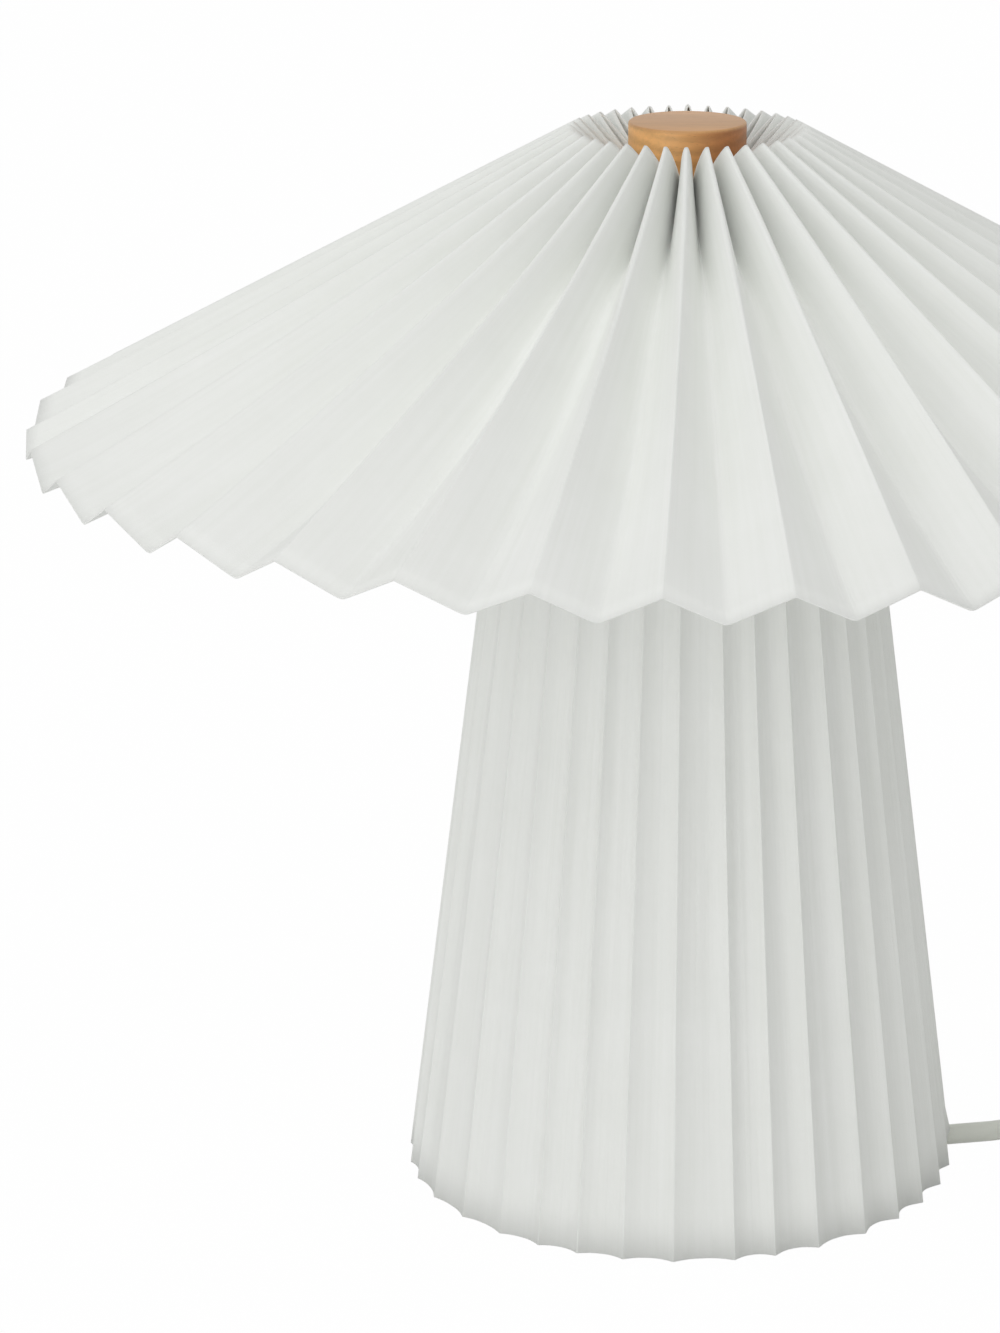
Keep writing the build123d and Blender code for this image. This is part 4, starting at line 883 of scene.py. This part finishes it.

# %% Colours of the wood, with painted light and shade
# Painted light: the side's lit left, its shaded right, and the top's paler painted reflection.
LEFT_PAINTED_LIGHT, RIGHT_PAINTED_SHADE, TOP_PAINTED_REFLECTION = "#F6BB75", "#B4733C", "#CB975E"
place = add(tree, "ShaderNodeSeparateXYZ", None, {0: coords})
# Painted light and shade across the side, lit on the left and shaded on the right.
painted_light_to_shade = add(
    tree,
    "ShaderNodeMapRange",
    {"interpolation_type": "SMOOTHSTEP"},
    {0: place.outputs[0], 1: -10 * MM, 2: 15 * MM, 3: 0.0, 4: 1.0},
)
side = add(
    tree,
    "ShaderNodeMix",
    {"data_type": "RGBA"},
    {"Factor": painted_light_to_shade.outputs[0], 6: linear(LEFT_PAINTED_LIGHT), 7: linear(RIGHT_PAINTED_SHADE)},
)
# The last millimetre below the top turns to the top's colour, a painted reflection of the white
# room.
top_reflection_mask = add(
    tree,
    "ShaderNodeMapRange",
    None,
    {0: place.outputs[2], 1: CAP_TOP - 1.3 * MM, 2: CAP_TOP - 0.3 * MM, 3: 0.0, 4: 1.0},
)
faces = add(
    tree,
    "ShaderNodeMix",
    {"data_type": "RGBA"},
    {"Factor": top_reflection_mask.outputs[0], 6: side.outputs[2], 7: linear(TOP_PAINTED_REFLECTION)},
)
# Grain and rings darken the colour to 0.8 of itself or lift it to 1.1, and flecks darken it.
tones = add(tree, "ShaderNodeMapRange", None, {0: pattern, 1: 0.25, 2: 0.75, 3: 0.8, 4: 1.1})
tone = add(
    tree,
    "ShaderNodeVectorMath",
    {"operation": "SCALE"},
    {0: faces.outputs[2], 3: tones.outputs[0]},
)
spots = add(
    tree, "ShaderNodeMapRange", None, {0: flecks.outputs[0], 1: 0.05, 2: 0.22, 3: 0.7, 4: 1.0}
)
final = add(
    tree,
    "ShaderNodeMix",
    {"data_type": "RGBA", "blend_type": "MULTIPLY"},
    {0: 1.0, 6: tone.outputs[0], 7: spots.outputs[0]},
)
tree.links.new(final.outputs[2], shader.inputs["Base Color"])
pores = add(
    tree, "ShaderNodeBump", None, {"Height": pattern, "Distance": 0.15 * MM, "Strength": 0.5}
)
tree.links.new(pores.outputs[0], shader.inputs["Normal"])
dress(wood, turned_cap)
print("wood from", LEFT_PAINTED_LIGHT, "to", RIGHT_PAINTED_SHADE)


# %% [markdown]
# ### Plastics, metals and the rest
# The cord, switch and plug are moulded from the same soft grey plastic. Inside the lamp are
# powder-coated and zinc-plated steel, brass, porcelain and the bulb. Flat colours would look
# like paint, so each finish wanders a little between two shades, with the fine unevenness that
# its making leaves. Screw threads are too fine to be worth modelling, and are drawn as bumps.

# %% A finish of two shades
def thread_height(tree, coords, pitch):
    """A screw thread round the lamp's axis, which winds up by one pitch a turn, in metres."""
    place = add(tree, "ShaderNodeSeparateXYZ", None, {0: coords})
    turn = add(
        tree,
        "ShaderNodeMath",
        {"operation": "ARCTAN2"},
        {0: place.outputs[1], 1: place.outputs[0]},
    )
    rise = add(
        tree, "ShaderNodeMath", {"operation": "MULTIPLY"}, {0: place.outputs[2], 1: 2 * pi / pitch}
    )
    phase = add(
        tree, "ShaderNodeMath", {"operation": "SUBTRACT"}, {0: rise.outputs[0], 1: turn.outputs[0]}
    )
    return add(tree, "ShaderNodeMath", {"operation": "SINE"}, {0: phase.outputs[0]})


def finish(name, dark, light, patch, grain=None, thread=None, **values):
    """A material whose colour wanders between two shades, in patches of a size in metres.

    grain is the size and the height of its fine unevenness, thread the pitch and the height of a
    screw thread, all in metres. The other values go straight onto the shader's sockets.
    """
    material, tree, shader = start(name, **values)
    coords = add(tree, "ShaderNodeTexCoord").outputs["Object"]
    patches = add(
        tree, "ShaderNodeTexNoise", None, {"Vector": coords, "Scale": 1 / patch, "Detail": 3}
    )
    tone = add(
        tree,
        "ShaderNodeMix",
        {"data_type": "RGBA"},
        {"Factor": patches.outputs[0], 6: linear(dark), 7: linear(light)},
    )
    tree.links.new(tone.outputs[2], shader.inputs["Base Color"])
    if grain or thread:
        size, height = grain or thread
        if grain:
            settings = {"Vector": coords, "Scale": 1 / size, "Detail": 2}
            relief_map = add(tree, "ShaderNodeTexNoise", None, settings)
        else:
            # A sine swings both ways, so half the thread's height goes each way.
            relief_map, height = thread_height(tree, coords, size), height / 2
        bump = add(
            tree,
            "ShaderNodeBump",
            None,
            {"Height": relief_map.outputs[0], "Distance": height, "Strength": 1.0},
        )
        tree.links.new(bump.outputs[0], shader.inputs["Normal"])
    return material


FINE_THREAD = (1.0 * MM, 0.25 * MM)  # pitch and height, on the stem and the stud
ROLLED_THREAD = (3.6 * MM, 0.9 * MM)  # the wide round thread of bulb and lampholder
print("threads", FINE_THREAD, ROLLED_THREAD)

# %% Soft grey plastic of the cord
# Moulded soft PVC has a fine matt skin, which spreads its highlights wide.
cord_plastic = finish(
    "soft_grey_pvc",
    "#E4E6DD",
    "#ECEEE6",
    patch=8.333 * MM,
    grain=(0.5556 * MM, 0.03 * MM),
    Roughness=0.5,
    IOR=1.5,
)
dress(cord_plastic, mains_cord, plug_shell, plug_relief, switch_relief_front, switch_relief_rear)
dress(
    cord_plastic, "inner_lead", "cord_grommet", "switch_bottom", "switch_top", "switch_rocker"
)

# %% Powder-coated steel
# Powder melts into a thick coat with the faint waves of orange peel.
powder_coat = finish(
    "white_powder_coat",
    "#DADAD5",
    "#E2E2DE",
    patch=11.11 * MM,
    grain=(0.7143 * MM, 0.06 * MM),
    Roughness=0.45,
    IOR=1.5,
)
dress(powder_coat, "base_plate", "stem_bridge", "trunk_ring", "harp_saddle", "harp_wire")
dress(powder_coat, *[name for name in nodes if "spider" in name])

# %% Zinc plate
# Dull zinc-plated steel has small crystals that break its reflections up into patches.
ZINC = {"dark": "#B4B4B0", "light": "#C9C9C6", "patch": 2 * MM, "Metallic": 1.0, "Roughness": 0.38}
dress(
    finish("zinc_plate", **ZINC, grain=(0.3333 * MM, 0.02 * MM)),
    "ring_screws",
    "bridge_screws",
    "clamp_screws",
    "stem_nuts",
    "cord_clamp",
    "switch_screws",
    "rocker_pin",
)
dress(finish("threaded_zinc_plate", **ZINC, thread=FINE_THREAD), "stem_tube")

# %% Brass
# Turned brass is a satin yellow, and pressed sheet brass is a little smoother.
BRASS = {"dark": "#B8924E", "light": "#CBA763", "patch": 3.846 * MM, "Metallic": 1.0}
dress(
    finish("satin_brass", **BRASS, grain=(0.4167 * MM, 0.02 * MM), Roughness=0.32),
    "cap_insert",
    "socket_contact",
    "harp_sleeves",
    "switch_terminals",
)
dress(finish("threaded_brass", **BRASS, thread=FINE_THREAD, Roughness=0.32), "finial_stud")
dress(finish("rolled_brass", **BRASS, thread=ROLLED_THREAD, Roughness=0.3), "socket_shell")

# %% Nickel plate
# Nickel is plated bright on smooth brass, so it mirrors its surroundings with little blur.
NICKEL = {
    "dark": "#C4C3BF",
    "light": "#D2D1CE",
    "patch": 2.5 * MM,
    "Metallic": 1.0,
    "Roughness": 0.22,
}
dress(finish("nickel_plate", **NICKEL), "bulb_tip", "plug_pins")
dress(finish("rolled_nickel_plate", **NICKEL, thread=ROLLED_THREAD), "bulb_cap")

# %% Moulded white plastic
# Hard plastic from a finely blasted mould: an even silky sheen.
moulded = finish(
    "moulded_white_plastic",
    "#E4E4E0",
    "#EBEBE8",
    patch=14.29 * MM,
    grain=(0.4545 * MM, 0.02 * MM),
    Roughness=0.42,
    IOR=1.5,
)
dress(moulded, "lampholder_cap", "lampholder_sleeve", "shade_rings", "shade_hub", "cap_washer")
dress(moulded, "bulb_base")

# %% Porcelain
# Glaze is a layer of glass over cream-white clay, so its highlights are small and sharp.
porcelain = finish(
    "glazed_porcelain", "#E9E6DF", "#F0EEE9", patch=16.67 * MM, Roughness=0.12, IOR=1.52
)
dress(porcelain, "lampholder_core")

# %% The bulb's opal dome and its board
# The dome is polycarbonate clouded all through, white even when the lamp is off. The board that
# carries the light-emitting diodes has a white solder lacquer, satin and slightly uneven.
opal = finish(
    "opal_polycarbonate", "#EFEDE7", "#F4F2ED", patch=25 * MM, Roughness=0.3, IOR=1.58
)
dress(opal, "bulb_globe")
board = finish("lacquered_board", "#DEDED9", "#E6E6E2", patch=5 * MM, Roughness=0.35)
dress(board, "led_board")

# %% Felt and the tie
# Felt and loop tape are mats of loose fibre: no highlight, and a soft sheen seen from the side.
# Their fibres are far finer than this grain, which is as coarse as it needs to be to show.
felt = finish(
    "grey_felt",
    "#6B6B68",
    "#858581",
    patch=1.111 * MM,
    grain=(0.6667 * MM, 0.3 * MM),
    Roughness=0.95,
    Sheen_Weight=0.3,
)
dress(felt, "felt_feet")
loop_tape = finish(
    "hook_and_loop_tape",
    "#2A2A2A",
    "#3D3D3C",
    patch=0.8333 * MM,
    grain=(0.4545 * MM, 0.3 * MM),
    Roughness=0.9,
    Sheen_Weight=0.4,
)
dress(loop_tape, coil_strap)
print(len(bpy.data.materials), "materials")


# %% [markdown]
# ## Floor, background and light
# The photo was taken on a white sweep, with broad soft light from the front left, so the paper
# shows only gentle shading. The floor and the background are white to the camera and in
# reflections, while the floor keeps a trace of the lamp's shadow, as in the photo. A low even
# light from all round stands for the white room, and two large panels give it a direction.

# %% White to the eye
def towards_eye(tree):
    """1 for rays from the camera and for those that metal or glass send on, otherwise 0."""
    rays = add(tree, "ShaderNodeLightPath").outputs
    seen = rays["Is Camera Ray"]
    for kind in ("Is Glossy Ray", "Is Transmission Ray"):
        seen = add(tree, "ShaderNodeMath", {"operation": "MAXIMUM"}, {0: seen, 1: rays[kind]})
        seen = seen.outputs[0]
    return seen


WHITE = (1, 1, 1, 1)
SWEEP_WHITE = 0.985  # share of plain white in the floor, and the rest is lit and shadowed
ROOM_LIGHT = 0.58  # strength of the even light from all round
print("floor", SWEEP_WHITE, "white, room light", ROOM_LIGHT)

# %% Floor
deselect()
bpy.ops.mesh.primitive_plane_add(size=6, location=(0, 0, 0))
floor = bpy.context.active_object
floor.name = "floor"
white_floor = bpy.data.materials.new("white_sweep")
white_floor.use_nodes = True
tree = white_floor.node_tree
tree.nodes.clear()
matt = add(tree, "ShaderNodeBsdfDiffuse", None, {"Color": linear("#F8F8F8")})
bright = add(tree, "ShaderNodeEmission", None, {"Color": WHITE, "Strength": 1.0})
seen = add(
    tree, "ShaderNodeMath", {"operation": "MULTIPLY"}, {0: towards_eye(tree), 1: SWEEP_WHITE}
)
mixed = add(
    tree,
    "ShaderNodeMixShader",
    None,
    {0: seen.outputs[0], 1: matt.outputs[0], 2: bright.outputs[0]},
)
add(tree, "ShaderNodeOutputMaterial", None, {"Surface": mixed.outputs[0]})
floor.data.materials.append(white_floor)
print("floor", floor.dimensions.x, "m wide")

# %% Background
world = bpy.data.worlds.new("white_room")
bpy.context.scene.world = world
world.use_nodes = True
tree = world.node_tree
tree.nodes.clear()
room = add(tree, "ShaderNodeBackground", None, {"Color": WHITE, "Strength": ROOM_LIGHT})
white = add(tree, "ShaderNodeBackground", None, {"Color": WHITE, "Strength": 1.0})
mixed = add(
    tree,
    "ShaderNodeMixShader",
    None,
    {0: towards_eye(tree), 1: room.outputs[0], 2: white.outputs[0]},
)
add(tree, "ShaderNodeOutputWorld", None, {"Surface": mixed.outputs[0]})
print("world", world.name)

# %% Light panels
LIT_POINT = Vector((0, 0, 0.2))  # the middle of the lamp


def panel(name, place, size, power):
    """A square light panel that faces the middle of the lamp."""
    data = bpy.data.lights.new(name, "AREA")
    data.shape = "SQUARE"
    data.size = size
    data.energy = power
    light = bpy.data.objects.new(name, data)
    bpy.context.scene.collection.objects.link(light)
    light.location = place
    light.rotation_euler = (LIT_POINT - Vector(place)).to_track_quat("-Z", "Y").to_euler()
    print("panel", name, size, "m,", power, "W")


panel("key", (-1.3, -2.0, 0.7), size=1.4, power=9)
panel("top", (-0.3, -1.4, 2.4), size=2.4, power=12)
bpy.context.scene.view_settings.view_transform = "Standard"
